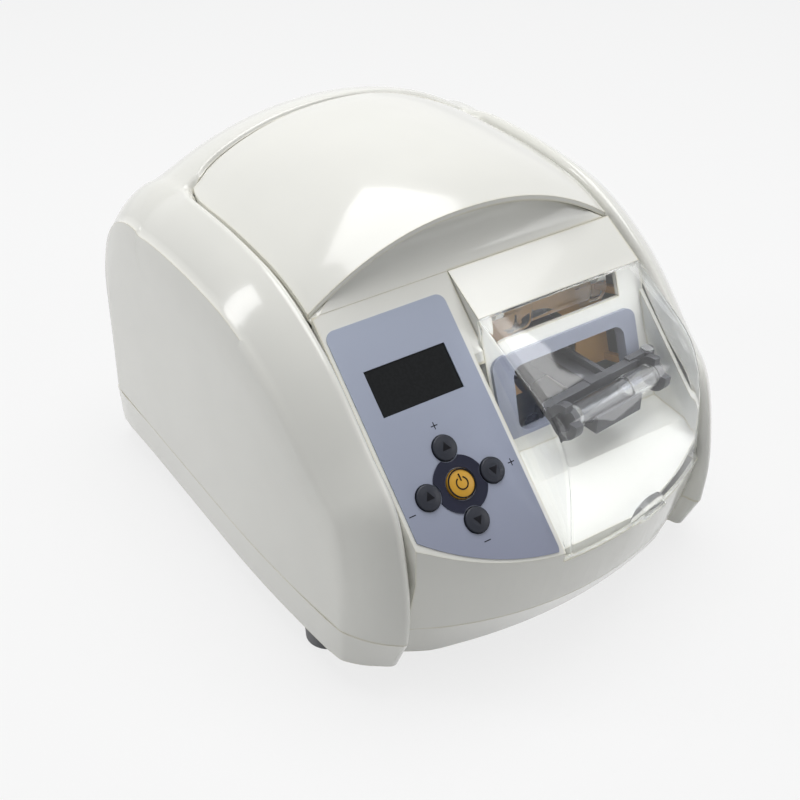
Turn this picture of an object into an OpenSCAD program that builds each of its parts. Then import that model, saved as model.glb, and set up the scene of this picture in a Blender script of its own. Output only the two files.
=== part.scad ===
// Dental capsule mixer: a vibrating arm in a small chamber under a clear lid.
// Millimetres. The feet stand on z = 0, the front faces -Y, x = 0 is the middle plane.

/* [Casing] */
// Half of the casing's widest width, at the base seam
half_w = 101; // [98:0.5:104]
// Height of the tray's underside above the table
tray_z = 12; // [10:0.5:13]
// Height of the seam between the tray and the shells
seam_z = 31; // [29:0.5:33]
// Y of the flat rear wall
rear_y = 124; // [120:0.5:128]
// Half distance between the two side ridges
ridge_x = 78; // [77:0.25:80]
// Y of the foremost point of the side ridges
ridge_front_y = -108.5; // [-110:0.5:-107]
// Height of the top of the side ridges
ridge_top_z = 154.5; // [151:0.5:158]
// Y of the seam behind the dome
dome_seam_y = 72; // [68:0.5:76]
// Rise of the dome above its side edges
dome_rise = 24; // [20:0.5:28]
// Depth of the rounded band between ridge and side panel
band_depth = 21; // [18:0.5:23]
// Wall thickness of the mouldings
wall = 2.4; // [2:0.1:2.8]

/* [Console] */
// Slope of the console from the horizontal, degrees
console_tilt = 42.2; // [41:0.1:43]
// Y of the console's upper edge, at the foot of the recess
console_y = -36.1; // [-37:0.1:-35]
// Height of the console's upper edge
console_z = 142.4; // [141:0.1:143.5]
// Length of the console down its slope, on the middle plane
console_len = 122; // [120:0.5:123]
// Bow of the lower front wall
front_bow = 19.5; // [17:0.5:21]

/* [Keypad] */
// Right edge of the keypad foil
foil_right = -17.4; // [-18.5:0.1:-17.2]
// Left edge of the keypad foil
foil_left = -72; // [-72.5:0.1:-71]
// Distance between the start button and each key
key_pitch = 15; // [14.6:0.1:15.6]
// Diameter of the four keys
key_d = 10.3; // [9.6:0.1:10.6]
// Diameter of the start button
start_d = 12; // [11:0.1:13]
// Travel of a key
key_travel = 0.5; // [0.3:0.05:0.6]
// Width of the display
lcd_w = 38.6; // [36:0.2:39.6]
// Height of the display
lcd_h = 20.4; // [18:0.2:21]

/* [Mixing chamber] */
// Left side of the chamber
chamber_left = -12; // [-12.4:0.1:-11]
// Slope of the cover plate above the chamber, degrees
plate_tilt = 28; // [27:0.2:29]
// Length of the cover plate down its slope
plate_len = 24.2; // [23.6:0.1:24.6]
// Slope of the chamber's back wall, degrees
back_tilt = 70; // [69:0.2:71]
// Height of the chamber floor at the back wall
floor_z = 74; // [73:0.2:75]
// Width of the window that the arm passes through
window_w = 59; // [56:0.5:60]
// Height of that window along the back wall
window_h = 28; // [27:0.5:29]

/* [Mixer] */
// X of the motor axis
motor_x = 28.5; // [28:0.1:29]
// Height of the motor axis
motor_z = 96; // [95.4:0.1:96.6]
// Radius of the motor can
motor_r = 28; // [26:0.5:29]
// Length of the motor can
motor_len = 56; // [50:1:60]
// Distance from the skewed hub to the capsule's axis
arm_reach = 57; // [56.6:0.2:58]
// Lean of the skewed hub that shakes the arm, degrees
skew = 6; // [5:0.25:6.5]
// Length of the capsule between the jaws
capsule_len = 46; // [44:0.5:47]
// Radius of the capsule
capsule_r = 5.5; // [5:0.1:6]
// Clearance between a turning bore and its pin, on the radius
running_gap = 0.05; // [0.03:0.01:0.08]
// Clearance between mouldings that lie side by side
part_gap = 0.3; // [0.25:0.05:0.4]

/* [Hidden] */
$fn = 48;

// General functions
function mix(a, b, t) = a + (b - a) * t;
function unit(v) = v / norm(v);
function cubic(p0, p1, p2, p3, t) =
    0.5 * ((2 * p1) + (p2 - p0) * t + (2 * p0 - 5 * p1 + 4 * p2 - p3) * t * t
           + (3 * p1 - p0 - 3 * p2 + p3) * t * t * t);
function spline(p, n) = [
    for (i = [0:len(p) - 2], k = [0:n - 1])
        cubic(p[max(i - 1, 0)], p[i], p[i + 1], p[min(i + 2, len(p) - 1)], k / n),
    p[len(p) - 1]];

// Ridge line in the (y, z) plane, from the seam at the front over the top to the rear seam.
// Its shape is given in shares of the span from front to dome seam and from seam to top.
ridge_shape = [[0.003, 0], [0, 0.202], [0.047, 0.482], [0.147, 0.632], [0.302, 0.83],
               [0.49, 0.9636], [0.684, 1], [0.878, 0.998], [1, 0.98]];
ridge_steps = 3;
ridge_pts = [for (s = ridge_shape) [mix(ridge_front_y, dome_seam_y, s[0]), mix(seam_z, ridge_top_z, s[1])]];
// Depth of the ridge's inner foot below its top, at the same points
foot_shape = [7.2, 6, 5, 6.6, 6, 5.4, 5.4, 5.4, 5.4];
front_foot = spline(foot_shape, ridge_steps);
front_line = spline(ridge_pts, ridge_steps);
seam_i = len(front_line) - 1;
seam_pt = front_line[seam_i];
rear_knee_z = 95;
rear_turn = [2, 5, 15, 30, 45, 60, 75, 90];
rear_line = [for (a = rear_turn)
    [mix(dome_seam_y, rear_y, sin(a)), mix(rear_knee_z, seam_pt[1], cos(a))]];
rear_drop = [for (t = [0.5, 1]) [rear_y, mix(rear_knee_z, seam_z, t)]];
ridge_line = concat(front_line, rear_line, rear_drop);
last_i = len(ridge_line) - 1;
function turn_at(i) = i <= seam_i ? 0 : i <= seam_i + len(rear_turn) ? rear_turn[i - seam_i - 1] : 90;
function inward(i) =
    i == 0 ? [1, 0] : i == last_i ? [-1, 0] :
    let (d = unit(ridge_line[min(i + 1, last_i)] - ridge_line[max(i - 1, 0)])) [d[1], -d[0]];
ridge_in = [for (i = [0:last_i]) inward(i)];
function ridge_z(y) = lookup(y, [for (p = front_line) [p[0], p[1]]]);

// Side panel: width at a place, with its taper to the front and its lean
front_taper = 5.5;
side_lean = 3;
corner_y = ridge_front_y + band_depth;
function side_x(y, z) =
    half_w - front_taper * pow(max(0, y / corner_y), 2) - side_lean * (z - seam_z) / 100;
rear_round = 10;
function band_at(i) = mix(band_depth, rear_round, turn_at(i) / 90);
function fullness(i) = mix(0.35, 1, turn_at(i) / 90);

// Ridge and ledge offsets from ridge_x, and depths; d is the depth of the foot
foot_x = ridge_x - 4;
edge_x = foot_x - part_gap;
ledge_x = edge_x - 3.2;
groove = 1.8;
function dome_over(x) = dome_rise * (1 - pow(min(1, abs(x) / edge_x), 2.2));
function foot_at(i) = i <= seam_i ? front_foot[i] : i == seam_i + 1 ? 0.8 : 0;
function ridge_fade(i) = i <= seam_i ? 1 : i == seam_i + 1 ? 0.7 : i == seam_i + 2 ? 0.3 : 0;
band_turn = [0, 18, 36, 54, 72];

// Outer and inner points of one half section: [x, depth]
function half_outer(i) =
    let (d = foot_at(i), f = ridge_fade(i), k = fullness(i), b = band_at(i), c = ridge_line[i],
         n = ridge_in[i], s = c + n * b, sx = side_x(s[0], s[1]), ex = ridge_x + 2.2, ed = f)
    concat(
        [for (a = band_turn)
            [ex + (sx - ex) * mix(1 - a / 90, cos(a), k), ed + (b - ed) * mix(1 - a / 90, 1 - sin(a), k)]],
        [[ex, ed], [ridge_x + 0.8, 0.15 * f], [ridge_x - 0.8, 0.25 * f],
         [ridge_x - 2.4, 0.35 * d * f], [foot_x, d]]);
function half_inner(i) =
    let (d = max(foot_at(i), 3), k = fullness(i), b = band_at(i), c = ridge_line[i],
         n = ridge_in[i], s = c + n * b, sx = side_x(s[0], s[1]) - wall, ex = ridge_x + 2.2, ed = wall + 1.4)
    concat(
        [for (a = band_turn)
            [ex + (sx - ex) * mix(1 - a / 90, cos(a), k), ed + (b + 0.9 - ed)
                * mix(1 - a / 90, 1 - sin(a), k)]],
        [[ex, ed], [ridge_x + 1.4, ed - 0.05], [ridge_x + 0.7, ed + 0.15 * (d - 3)],
         [ridge_x, ed + 0.2 + 0.45 * (d - 3)], [ridge_x - 1.3, max(d + 0.9, ed + 0.3)]]);

// The seam's corner behind the dome is rounded by sliding the points near it
corner_slide = 3.4;
corner_reach = 10;
function slide_at(x, y) =
    corner_slide * exp(-pow(norm([abs(x) - foot_x, y - dome_seam_y]) / corner_reach, 2));
function round_corner(p) =
    let (k = slide_at(p[0], p[1]), x1 = p[0] - sign(p[0]) * k)
    p[2] < seam_pt[1] - 30 ? p : [x1, p[1] - k, p[2] + dome_over(x1) - dome_over(p[0])];

// Points of one station, from the left base line over the top to the right base line
side_steps = 3;
function base_y(i) = mix(corner_y + 9, rear_y - rear_round - 9, i / last_i);
function side_pts(i, in) =
    let (c = ridge_line[i] + ridge_in[i] * (band_at(i) + (in > 0 ? 0.9 : 0)), b = [base_y(i), seam_z])
    [for (j = [0:side_steps - 1])
        let (q = mix(b, c, j / side_steps)) [side_x(q[0], q[1]) - in, q[0], q[1]]];
function section_pts(i, half) = [for (h = half) let (q = ridge_line[i] + ridge_in[i] * h[1])
    [h[0], q[0], q[1]]];
function ledge_depth(x) = groove + wall + 1.2 - dome_over(x);
arch_turn = [for (a = [72:-12:-72]) a];
function arch_pt(i, x, low) =
    let (rise = dome_rise - groove,
         bead = i == seam_i ? 2.4 : i == seam_i + 1 ? 0.6 : 0,
         up = rise * pow(cos(turn_at(i)), 2) * (1 - pow(min(1, abs(x) / foot_x), 2.3)),
         q = ridge_line[i] - ridge_in[i] * (up - bead - low))
    [x, q[0], q[1]];
function ledge_pt(i, low) =
    i < seam_i ? let (q = ridge_line[i] + ridge_in[i] * (ledge_depth(ledge_x) + low)) [ledge_x, q[0], q[1]]
               : arch_pt(i, ledge_x, low);
function mirror_x(p) = [-p[0], p[1], p[2]];
function reverse(v) = [for (i = [len(v) - 1:-1:0]) v[i]];
function half_station(i, low) =
    concat(side_pts(i, low), section_pts(i, low > 0 ? half_inner(i) : half_outer(i)), [ledge_pt(i, low)]);
function station(i, low) =
    let (h = half_station(i, low), m = [for (a = arch_turn) arch_pt(i, -ledge_x * sin(a), low)])
    [for (p = concat([for (p = h) mirror_x(p)], m, reverse(h))) round_corner(p)];
half_count = side_steps + len(band_turn) + 6;
shell_out = [for (i = [0:last_i]) station(i, 0)];
shell_in = [for (i = [0:last_i]) station(i, wall)];
lip_y = console_y + 2.3;
lip_i = max([for (i = [0:seam_i]) if (front_line[i][0] < lip_y + 6) i]) + 1;
function shell_has(i, j) =
    let (k = min(j, len(shell_out[0]) - 2 - j))
    k < half_count - 2 || (k == half_count - 2 && (i >= seam_i || (i >= lip_i && i < seam_i - 1)))
    || (k > half_count - 2 && i >= seam_i);

// A wall between two point grids; cells that are left out become openings
module wall_grid(out, inn, has) {
    rows = len(out);
    cols = len(out[0]);
    n = rows * cols;
    cell = [for (i = [0:rows - 2]) [for (j = [0:cols - 2]) has[i][j]]];
    function on(i, j) = i >= 0 && j >= 0 && i < rows - 1 && j < cols - 1 && cell[i][j];
    function at(i, j) = i * cols + j;
    faces = [for (i = [0:rows - 2], j = [0:cols - 2]) if (on(i, j)) each concat(
        cell_faces(out, i, j, at(i, j), at(i, j + 1), at(i + 1, j), at(i + 1, j + 1), false),
        cell_faces(inn, i, j, n + at(i, j), n + at(i, j + 1), n + at(i + 1, j), n + at(i + 1, j + 1), true),
        on(i - 1, j) ? [] : edge_faces(at(i, j), at(i, j + 1), n),
        on(i + 1, j) ? [] : edge_faces(at(i + 1, j + 1), at(i + 1, j), n),
        on(i, j - 1) ? [] : edge_faces(at(i + 1, j), at(i, j), n),
        on(i, j + 1) ? [] : edge_faces(at(i, j + 1), at(i + 1, j + 1), n))];
    polyhedron([for (r = out) each r, for (r = inn) each r], faces);
}
// Two triangles on the diagonal that leaves the smaller one larger
function span(a, b, c) = norm(cross(b - a, c - a));
function cell_faces(g, i, j, a, b, c, d, flip) =
    let (p = g[i][j], q = g[i][j + 1], r = g[i + 1][j], s = g[i + 1][j + 1],
         main = min(span(p, q, s), span(p, s, r)) > min(span(p, q, r), span(q, s, r)),
         f = main ? [[a, b, d], [a, d, c]] : [[a, b, c], [b, d, c]])
    flip ? [for (t = f) [t[0], t[2], t[1]]] : f;
function edge_faces(a, b, n) = [[b, a, n + a], [b, n + a, n + b]];
function all_on(g) = [for (i = [0:len(g) - 2]) [for (j = [0:len(g[0]) - 2]) true]];

module main_shell() {
    color("ivory") difference() {
        wall_grid(shell_in, shell_out, [for (i = [0:last_i - 1])
            [for (j = [0:len(shell_out[0]) - 2]) shell_has(i, j)]]);
        inlet_body(inlet_x, 27.4, 20.4, 10);
        inlet_body(switch_x, switch_w + 0.4, switch_h + 0.4, 10);
        translate([fuse_x, rear_y - 10, inlet_z]) rotate([-90, 0, 0]) cylinder(r = 6.7, h = 20);
    }
}

// Dome between the ridges, from its lip to the seam behind it
dome_rows = 9;
dome_cols = 16;
dome_drop = 0.6;
function dome_pt(u, t, low) =
    let (x = edge_x * sin(90 * u), y = mix(lip_y, dome_seam_y - 2 * part_gap, t),
         drop = groove + dome_drop * t - dome_over(x) + (t == 1 ? 0.3 : 0))
    round_corner([x, y, ridge_z(y) - drop - low]);
dome_out = [for (i = [0:dome_rows]) [for (j = [0:dome_cols])
    dome_pt(2 * j / dome_cols - 1, i / dome_rows, 0)]];
dome_low = [for (i = [0:dome_rows]) [for (j = [0:dome_cols])
    dome_pt(2 * j / dome_cols - 1, i / dome_rows, wall)]];
module dome_hood() {
    color("ivory") wall_grid(dome_low, dome_out, all_on(dome_out));
}

// Places that several pieces share
module on_console() {
    translate([0, console_y, console_z]) rotate([console_tilt, 0, 0]) children();
}
plate_y = console_y - plate_len * cos(plate_tilt);
plate_z = console_z - plate_len * sin(plate_tilt);
module on_back_wall() {
    translate([0, plate_y, plate_z]) rotate([back_tilt, 0, 0]) children();
}
function wall_y(z) = plate_y - (plate_z - z) / tan(back_tilt);
module along_x(x0, x1) {
    translate([x0, 0, 0]) rotate([90, 0, 90]) linear_extrude(x1 - x0) children();
}
module box(lo, hi) {
    translate(lo) cube(hi - lo);
}

// Front moulding: flat console above a conical front wall, with a cove under the dome's lip
bow_chord = 74;
bow_r = (bow_chord * bow_chord + front_bow * front_bow) / (2 * front_bow);
nose_y = console_y - console_len * cos(console_tilt);
nose_z = console_z - console_len * sin(console_tilt);
bow_y = nose_y + bow_r;
flare = 5.5;
panel_x = foot_x - part_gap - 0.4;
step_x = chamber_left - 3.4;
lip_r = 134.6;
lip_top = 167.7;
module front_cone(t) {
    translate([0, bow_y, 0]) rotate_extrude($fn = 96)
        polygon([[0, seam_z], [bow_r - flare - t, seam_z], [bow_r - t, nose_z],
                 [bow_r - t, console_z + 20], [0, console_z + 20]]);
}
module front_core(t, back) {
    intersection() {
        front_cone(t);
        box([-panel_x + t, nose_y - 10, seam_z - 1], [panel_x - t, back, console_z + 20]);
        on_console() translate([-100, -200, -200 - t]) cube([200, 400, 200]);
    }
}
cove_r = 17.75;
cove_y = console_y - 11.5;
cove_z = console_z + 13.8;
module cove() {
    intersection() {
        along_x(-panel_x, panel_x) difference() {
            translate([console_y - 1.5, console_z - 3]) square([10, 34]);
            translate([cove_y, cove_z]) circle(r = cove_r, $fn = 96);
            polygon([[console_y, console_z + 40], [console_y - 20, console_z + 40],
                     [console_y - 20, console_z - 20 * tan(console_tilt)], [console_y, console_z]]);
        }
        translate([0, 0, lip_top - lip_r]) rotate([90, 0, 0])
            cylinder(r = lip_r - wall - 2.2, h = 200, center = true, $fn = 180);
    }
}
key_places = [[0, key_pitch], [key_pitch, 0], [0, -key_pitch], [-key_pitch, 0]];
key_x = -45.2;
key_s = console_len - 42.2;
lcd_x = -64;
lcd_s = 25.8;
module at_key(i) {
    on_console() translate([key_x + key_places[i][0], key_places[i][1] - key_s, 0]) children();
}
module at_start() {
    on_console() translate([key_x, -key_s, 0]) children();
}
module key_holes(top, low, spare) {
    for (i = [0:3]) at_key(i) translate([0, 0, low]) cylinder(d = key_d + 2 * spare, h = top - low);
    at_start() translate([0, 0, low]) cylinder(d = start_d + 2 * spare, h = top - low);
}
module rounded_rect(lo, hi, r) {
    translate([lo[0] + r, lo[1]]) square([hi[0] - lo[0] - 2 * r, hi[1] - lo[1]]);
    translate([lo[0], lo[1] + r]) square([hi[0] - lo[0], hi[1] - lo[1] - 2 * r]);
    for (x = [lo[0] + r, hi[0] - r], y = [lo[1] + r, hi[1] - r]) translate([x, y]) circle(r = r);
}
front_cut_z = 56.5;
step_drop = 10;
module below_console(drop) {
    on_console() translate([-200, -300, -100 - drop * cos(console_tilt)]) cube([400, 600, 100]);
}
module chamber_cut() {
    box([box_left - part_gap, -200, front_cut_z], [200, console_y + 1, 200]);
    intersection() {
        box([step_x, -200, front_cut_z], [200, console_y + 1, 200]);
        on_back_wall() translate([step_x - 1, -200, 0.2]) cube([300, 400, 200]);
    }
}
module front_panel() {
    color("ivory") difference() {
        union() {
            difference() {
                front_core(0, console_y);
                front_core(wall, 20);
                chamber_cut();
            }
            difference() {
                intersection() {
                    front_core(0, console_y);
                    box([step_x - wall, -200, front_cut_z], [step_x, 0, 200]);
                }
                below_console(step_drop);
            }
            cove();
        }
        key_holes(5, -10, part_gap);
        on_console() translate([lcd_x, -lcd_s - lcd_h, -10]) cube([lcd_w, lcd_h, 20]);
        box([box_left - part_gap, -200, console_z - 20], [200, console_y + 3, console_z + 0.02]);
    }
}

// Keypad: foil, disc, keys and start button, and what stands behind them
foil_t = 0.5;
foil_top = -7.3;
foil_arc_r = 109;
foil_arc_s = console_len - 1.2;
module foil_outline() {
    intersection() {
        rounded_rect([foil_left, -foil_arc_s], [foil_right, foil_top], 4);
        translate([0, foil_arc_r - foil_arc_s]) circle(r = foil_arc_r, $fn = 180);
    }
}
module keypad_foil() {
    color("lightsteelblue") difference() {
        on_console() linear_extrude(foil_t) foil_outline();
        key_holes(5, -1, part_gap);
        on_console() translate([lcd_x + 0.6, 0.6 - lcd_s - lcd_h, -1]) cube([lcd_w - 1.2, lcd_h - 1.2, 5]);
    }
}
disc_r = 11.5;
module key_disc() {
    color("darkslateblue") difference() {
        at_start() translate([0, 0, foil_t]) cylinder(r = disc_r, h = 0.5);
        key_holes(5, -1, 0.6);
    }
}
board_depth = 11;
switch_top = 5;
stem_end = switch_top - board_depth + key_travel + 0.4;
module key_cap(d, crown) {
    rotate_extrude() polygon(concat(
        [[0, stem_end], [2.2, stem_end], [2.2, -3.4], [d / 2 + 0.8, -3.4], [d / 2 + 0.8, -2.8],
            [d / 2, -2.8]],
        [for (a = [0:15:90]) [d / 2 - 0.8 + 0.8 * cos(a), 1.3 + 0.5 * sin(a)]],
        [[d / 4, 1.8 + crown], [0, 1.8 + 1.3 * crown]]));
}
module start_button() {
    color("goldenrod") at_start() key_cap(start_d, 0.4);
}
module key_at(i) {
    color("darkslategray") at_key(i) key_cap(key_d, 0.3);
}
module key_up() { key_at(0); }
module key_right() { key_at(1); }
module key_down() { key_at(2); }
module key_left() { key_at(3); }
module display_window() {
    color("black") on_console() translate([lcd_x + 0.2, 0.2 - lcd_s - lcd_h, -1.4])
        cube([lcd_w - 0.4, lcd_h - 0.4, 1.3]);
}
module display_module() {
    color("dimgray") on_console() {
        translate([lcd_x - 3, -lcd_s - lcd_h - 4, -7.4]) cube([lcd_w + 6, lcd_h + 8, 4.6]);
        translate([lcd_x + 0.6, 0.6 - lcd_s - lcd_h, -2.81]) cube([lcd_w - 1.2, lcd_h - 1.2, 1.2]);
    }
}
board_lo = [-67, 21 - console_len];
board_hi = [-20, -12];
post_in = 3;
post_vs = [board_lo[1] + post_in, board_hi[1] - post_in];
board_t = 1.6;
post_places = [for (x = [board_lo[0] + post_in, board_hi[0] - post_in], v = post_vs) [x, v]];
module control_board() {
    color("seagreen") on_console() {
        difference() {
            translate([board_lo[0], board_lo[1], -board_depth - board_t])
                cube([board_hi[0] - board_lo[0], board_hi[1] - board_lo[1], board_t]);
            for (q = post_places) translate([q[0], q[1], -30]) cylinder(r = 1.7, h = 40);
        }
        for (k = concat(key_places, [[0, 0]])) translate([key_x + k[0], k[1] - key_s, -board_depth - 0.01]) {
            translate([-3, -3, 0]) cube([6, 6, 3.5]);
            cylinder(r = 1.7, h = switch_top);
        }
        for (x = [-58, -50, -38, -31]) translate([x, -26, -board_depth - board_t - 6]) cube([5, 12, 6.01]);
    }
}
module board_posts() {
    color("silver") on_console() for (q = post_places) translate([q[0], q[1], 0]) {
        translate([0, 0, 0.04 - board_depth]) cylinder(r = 2.8, h = board_depth - wall - 0.08);
        translate([0, 0, -board_depth - board_t - 3]) cylinder(r = 1.6, h = 4);
        translate([0, 0, -board_depth - board_t - 2.1]) cylinder(r = 3, h = 2);
    }
}

// Mixing chamber: cover plate, back wall, floor and front ledge are one folded profile
ledge_y = -119.5;
ledge_z = 56.4;
bench_y = -97;
chamber_right = panel_x;
right_wall = 1.6;
box_left = chamber_left + 1.5;
tub_path = [[console_y, console_z], [plate_y, plate_z], [wall_y(floor_z), floor_z], [bench_y, floor_z - 1],
            [ledge_y, ledge_z], [ledge_y, ledge_z - 14]];
function turned(d) = [-d[1], d[0]];
function mitred(p, t) = [for (i = [0:len(p) - 1])
    let (a = unit(p[min(i + 1, len(p) - 1)] - p[min(i, len(p) - 2)]),
         b = unit(p[max(i, 1)] - p[max(i - 1, 0)]), m = unit(turned(a) + turned(b)))
    p[i] + m * t / (m * turned(a))];
tub_low = mitred(tub_path, wall);
hinge_y = plate_y + 7.4;
hinge_z = console_z - (console_y - hinge_y) * tan(plate_tilt) - 7.6 / cos(plate_tilt);
hinge_r = 2;
eye_r = 4;
lug_x = [5.7, 44.5];
lug_w = 8;
post_x = [1, 54];
post_w = 4;
slot_left = -4.5;
slot_right = 60;
slot_s = 12.2;
window_top = 24;
window_left = -0.5;
module slot_cut() {
    on_back_wall() translate([slot_left, -slot_s, -wall - 1])
        cube([slot_right - slot_left, slot_s - 1.4, wall + 6]);
}
module window_outline(grow) {
    rounded_rect([window_left - grow, -window_top - window_h - grow],
                 [window_left + window_w + grow, grow - window_top], 5 + grow);
}
module side_wall(x0, x1, drop, from_y) {
    difference() {
        along_x(x0, x1) polygon([
            [from_y, console_z], [ledge_y, console_z], [ledge_y, ledge_z - 14], [ledge_y + 5, ledge_z - 14],
            [bench_y, floor_z - 8], [from_y, floor_z - 8]]);
        difference() {
            box([x0 - 1, -200, 0], [x1 + 1, 0, 200]);
            below_console(drop);
        }
    }
}
module hinge_post(x) {
    difference() {
        along_x(x, x + post_w) {
            translate([hinge_y, hinge_z]) circle(r = eye_r);
            translate([hinge_y - eye_r, hinge_z]) square([2 * eye_r, 4.6]);
        }
        translate([x - 1, hinge_y, hinge_z]) rotate([0, 90, 0]) cylinder(r = hinge_r + 0.02, h = post_w + 2);
    }
}
module chamber_box() {
    color("ivory") difference() {
        intersection() {
            tub();
            front_cone(wall + 1.5);
        }
        slot_cut();
        on_back_wall() translate([0, 0, -wall - 1]) linear_extrude(wall + 4) window_outline(1.6);
    }
}
module tub() {
    along_x(box_left, chamber_right) polygon(concat(
        [for (i = [0:4]) tub_path[i]], [[ledge_y, ledge_z - 14]],
        [for (i = [5:-1:0]) tub_low[i]]));
    along_x(box_left, box_left + wall) polygon([
        [console_y, console_z], [plate_y, plate_z], [wall_y(floor_z), floor_z], [console_y, floor_z]]);
    along_x(chamber_left - wall, box_left + 0.1) polygon(concat(
        [[wall_y(floor_z), floor_z], [bench_y, floor_z - 1], [ledge_y, ledge_z]],
        [[ledge_y, ledge_z - 14], [ledge_y + wall, ledge_z - 14]],
        [for (i = [4:-1:2]) tub_low[i]]));
    side_wall(chamber_left - wall, chamber_left, step_drop, wall_y(90));
    side_wall(chamber_right - right_wall, chamber_right, 0, plate_y - 1);
    for (x = post_x) hinge_post(x);
}

gasket_t = 1.8;
module window_gasket() {
    color("slategray") on_back_wall() difference() {
        union() {
            translate([0, 0, 0.02]) linear_extrude(gasket_t)
                rounded_rect([window_left - 8.5, -window_top - window_h - 1.5],
                             [window_left + window_w + 7, 6 - window_top], 5);
            translate([0, 0, -wall - 1.5]) linear_extrude(wall + 2.5) window_outline(1.5);
        }
        translate([0, 0, -wall - 3]) linear_extrude(wall + 8) window_outline(0);
    }
}
sheet_back = 18;
sheet_t = 0.8;
sheet_low = 44;
sheet_hole_r = 18.5;
sheet_leg = 3;
module insulator_sheet() {
    color("peru") difference() {
        on_back_wall() {
            translate([slot_left - sheet_leg - 0.4, -sheet_low, -sheet_back])
                cube([slot_right - slot_left + 2 * sheet_leg + 1.4, sheet_low - 1.5, sheet_t]);
            for (x = [slot_left - sheet_leg - 0.4, slot_right + 1], v = [-slot_s, -sheet_low])
                translate([x, v, -sheet_back])
                cube([sheet_leg, sheet_leg, sheet_back - wall - 0.02]);
        }
        along_y(-80, motor_front) circle(r = sheet_hole_r);
    }
}
module hinge_rod() {
    color("silver") translate([post_x[0] - 0.5, hinge_y, hinge_z]) rotate([0, 90, 0])
        cylinder(r = hinge_r, h = post_x[1] - post_x[0] + post_w + 1);
}

// Lid: a curved skin that is drawn in towards the right, with flat ends and two gooseneck lugs
lid_t = 1.8;
lid_left = chamber_left - 1.6;
lid_right = chamber_right - right_wall - part_gap;
lid_rear = [plate_y - 3, plate_z + 2];
lid_shape = [[0, 0], [0.345, 0.116], [0.676, 0.238], [0.85, 0.39], [0.94, 0.603], [1, 1]];
lid_base_z = front_cut_z + 1;
lid_steps = 3;
function bow_at(x) = bow_y - sqrt(bow_r * bow_r - x * x);
function lid_profile(x) =
    let (reach = lid_rear[0] - bow_at(x) - 0.6, low = lid_rear[1] - lid_base_z)
    [for (q = spline([for (s = lid_shape) [lid_rear[0] - reach * s[0], lid_rear[1] - low * s[1]]],
        lid_steps)) q];
lid_cols = [for (k = [0:9]) mix(lid_left, lid_right, k / 9)];
lid_out = [for (x = lid_cols) [for (q = lid_profile(x)) [x, q[0], q[1]]]];
lid_in = [for (x = lid_cols) [for (q = mitred(lid_profile(x), lid_t)) [x, q[0], q[1]]]];
lid_drop = 9.6;
lid_off = 0.7;
module lid_end(x0, x) {
    difference() {
        along_x(x0, x0 + lid_t) polygon(concat(lid_profile(x), [[lid_rear[0], lid_base_z]]));
        below_console(lid_drop);
        on_back_wall() translate([x0 - 10, -150, -100]) cube([20, 200, 100 + lid_off]);
    }
}
goose_r = 10.5;
goose_t = 2;
goose_from = 149;
goose_to = 246;
module ring_sector(r0, r1, a0, a1) {
    polygon(concat([for (a = [a0:(a1 - a0) / 12:a1]) r1 * [cos(a), sin(a)]],
                   [for (a = [a1:(a0 - a1) / 12:a0]) r0 * [cos(a), sin(a)]]));
}
module lug(x) {
    difference() {
        along_x(x, x + lug_w) translate([hinge_y, hinge_z]) {
            ring_sector(goose_r - goose_t / 2, goose_r + goose_t / 2, goose_from, goose_to);
            rotate(goose_to - 4) translate([0, -1.5]) square([goose_r, 3]);
            circle(r = eye_r);
        }
        translate([x - 1, hinge_y, hinge_z]) rotate([0, 90, 0])
            cylinder(r = hinge_r + running_gap, h = lug_w + 2);
    }
}
module lid() {
    color("aliceblue", 0.4) {
        wall_grid(lid_in, lid_out, all_on(lid_out));
        lid_end(lid_left, lid_left);
        lid_end(lid_right - lid_t, lid_right);
        for (x = lug_x) lug(x);
        along_x(lug_x[0], lug_x[1] + lug_w) translate([hinge_y, hinge_z])
            ring_sector(goose_r - goose_t / 2, goose_r + goose_t / 2, goose_from, goose_to - 45);
    }
}

// Base tray: one outline at the seam, drawn in towards its underside
tray_bow_y = -110;
tray_bow = 13.5;
cheek_draw = 8.5;
corner_draw = 2.5;
side_draw = 0.8;
side_ys = [for (k = [1:5]) mix(corner_y, rear_y - rear_round, k / 6)];
function half_plan(h0, h1, t) =
    concat([for (p = reverse(h0)) [p[0], ridge_line[0][0] + p[1]]],
           [for (y = side_ys) [side_x(y, seam_z) - t, y]],
           [for (p = h1) [p[0], rear_y - p[1]]]);
function front_at(x, t) = bow_y - sqrt(pow(bow_r - flare - t, 2) - x * x);
bow_cols = [for (k = [-5:5]) k / 6 * foot_x];
function full_plan(half, t) =
    concat([for (x = bow_cols) [x, front_at(x, t)]], half, [for (p = reverse(half)) [-p[0], p[1]]]);
seam_out = full_plan(half_plan(half_outer(0), half_outer(last_i), 0), 0);
seam_in = full_plan(half_plan(half_inner(0), half_inner(last_i), wall), wall);
function drawn_in(p, t) =
    abs(p[0]) < 0.9 * foot_x ? [p[0], tray_bow_y + t + tray_bow * pow(p[0] / bow_chord, 2)] :
    let (v = min(1, max(0, (corner_y + 25 - p[1]) / 25)), u = min(1, max(0, (corner_y - p[1]) / band_depth)))
    [p[0] - sign(p[0]) * (abs(p[0]) > foot_x + 9 ? side_draw : 0),
     p[1] + corner_draw * v + (cheek_draw - corner_draw) * u];
base_out = [for (p = seam_out) drawn_in(p, 0)];
base_in = [for (p = seam_in) drawn_in(p, wall)];
function ring_at(pl, z) = [for (p = pl) [p[0], p[1], z]];
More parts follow.
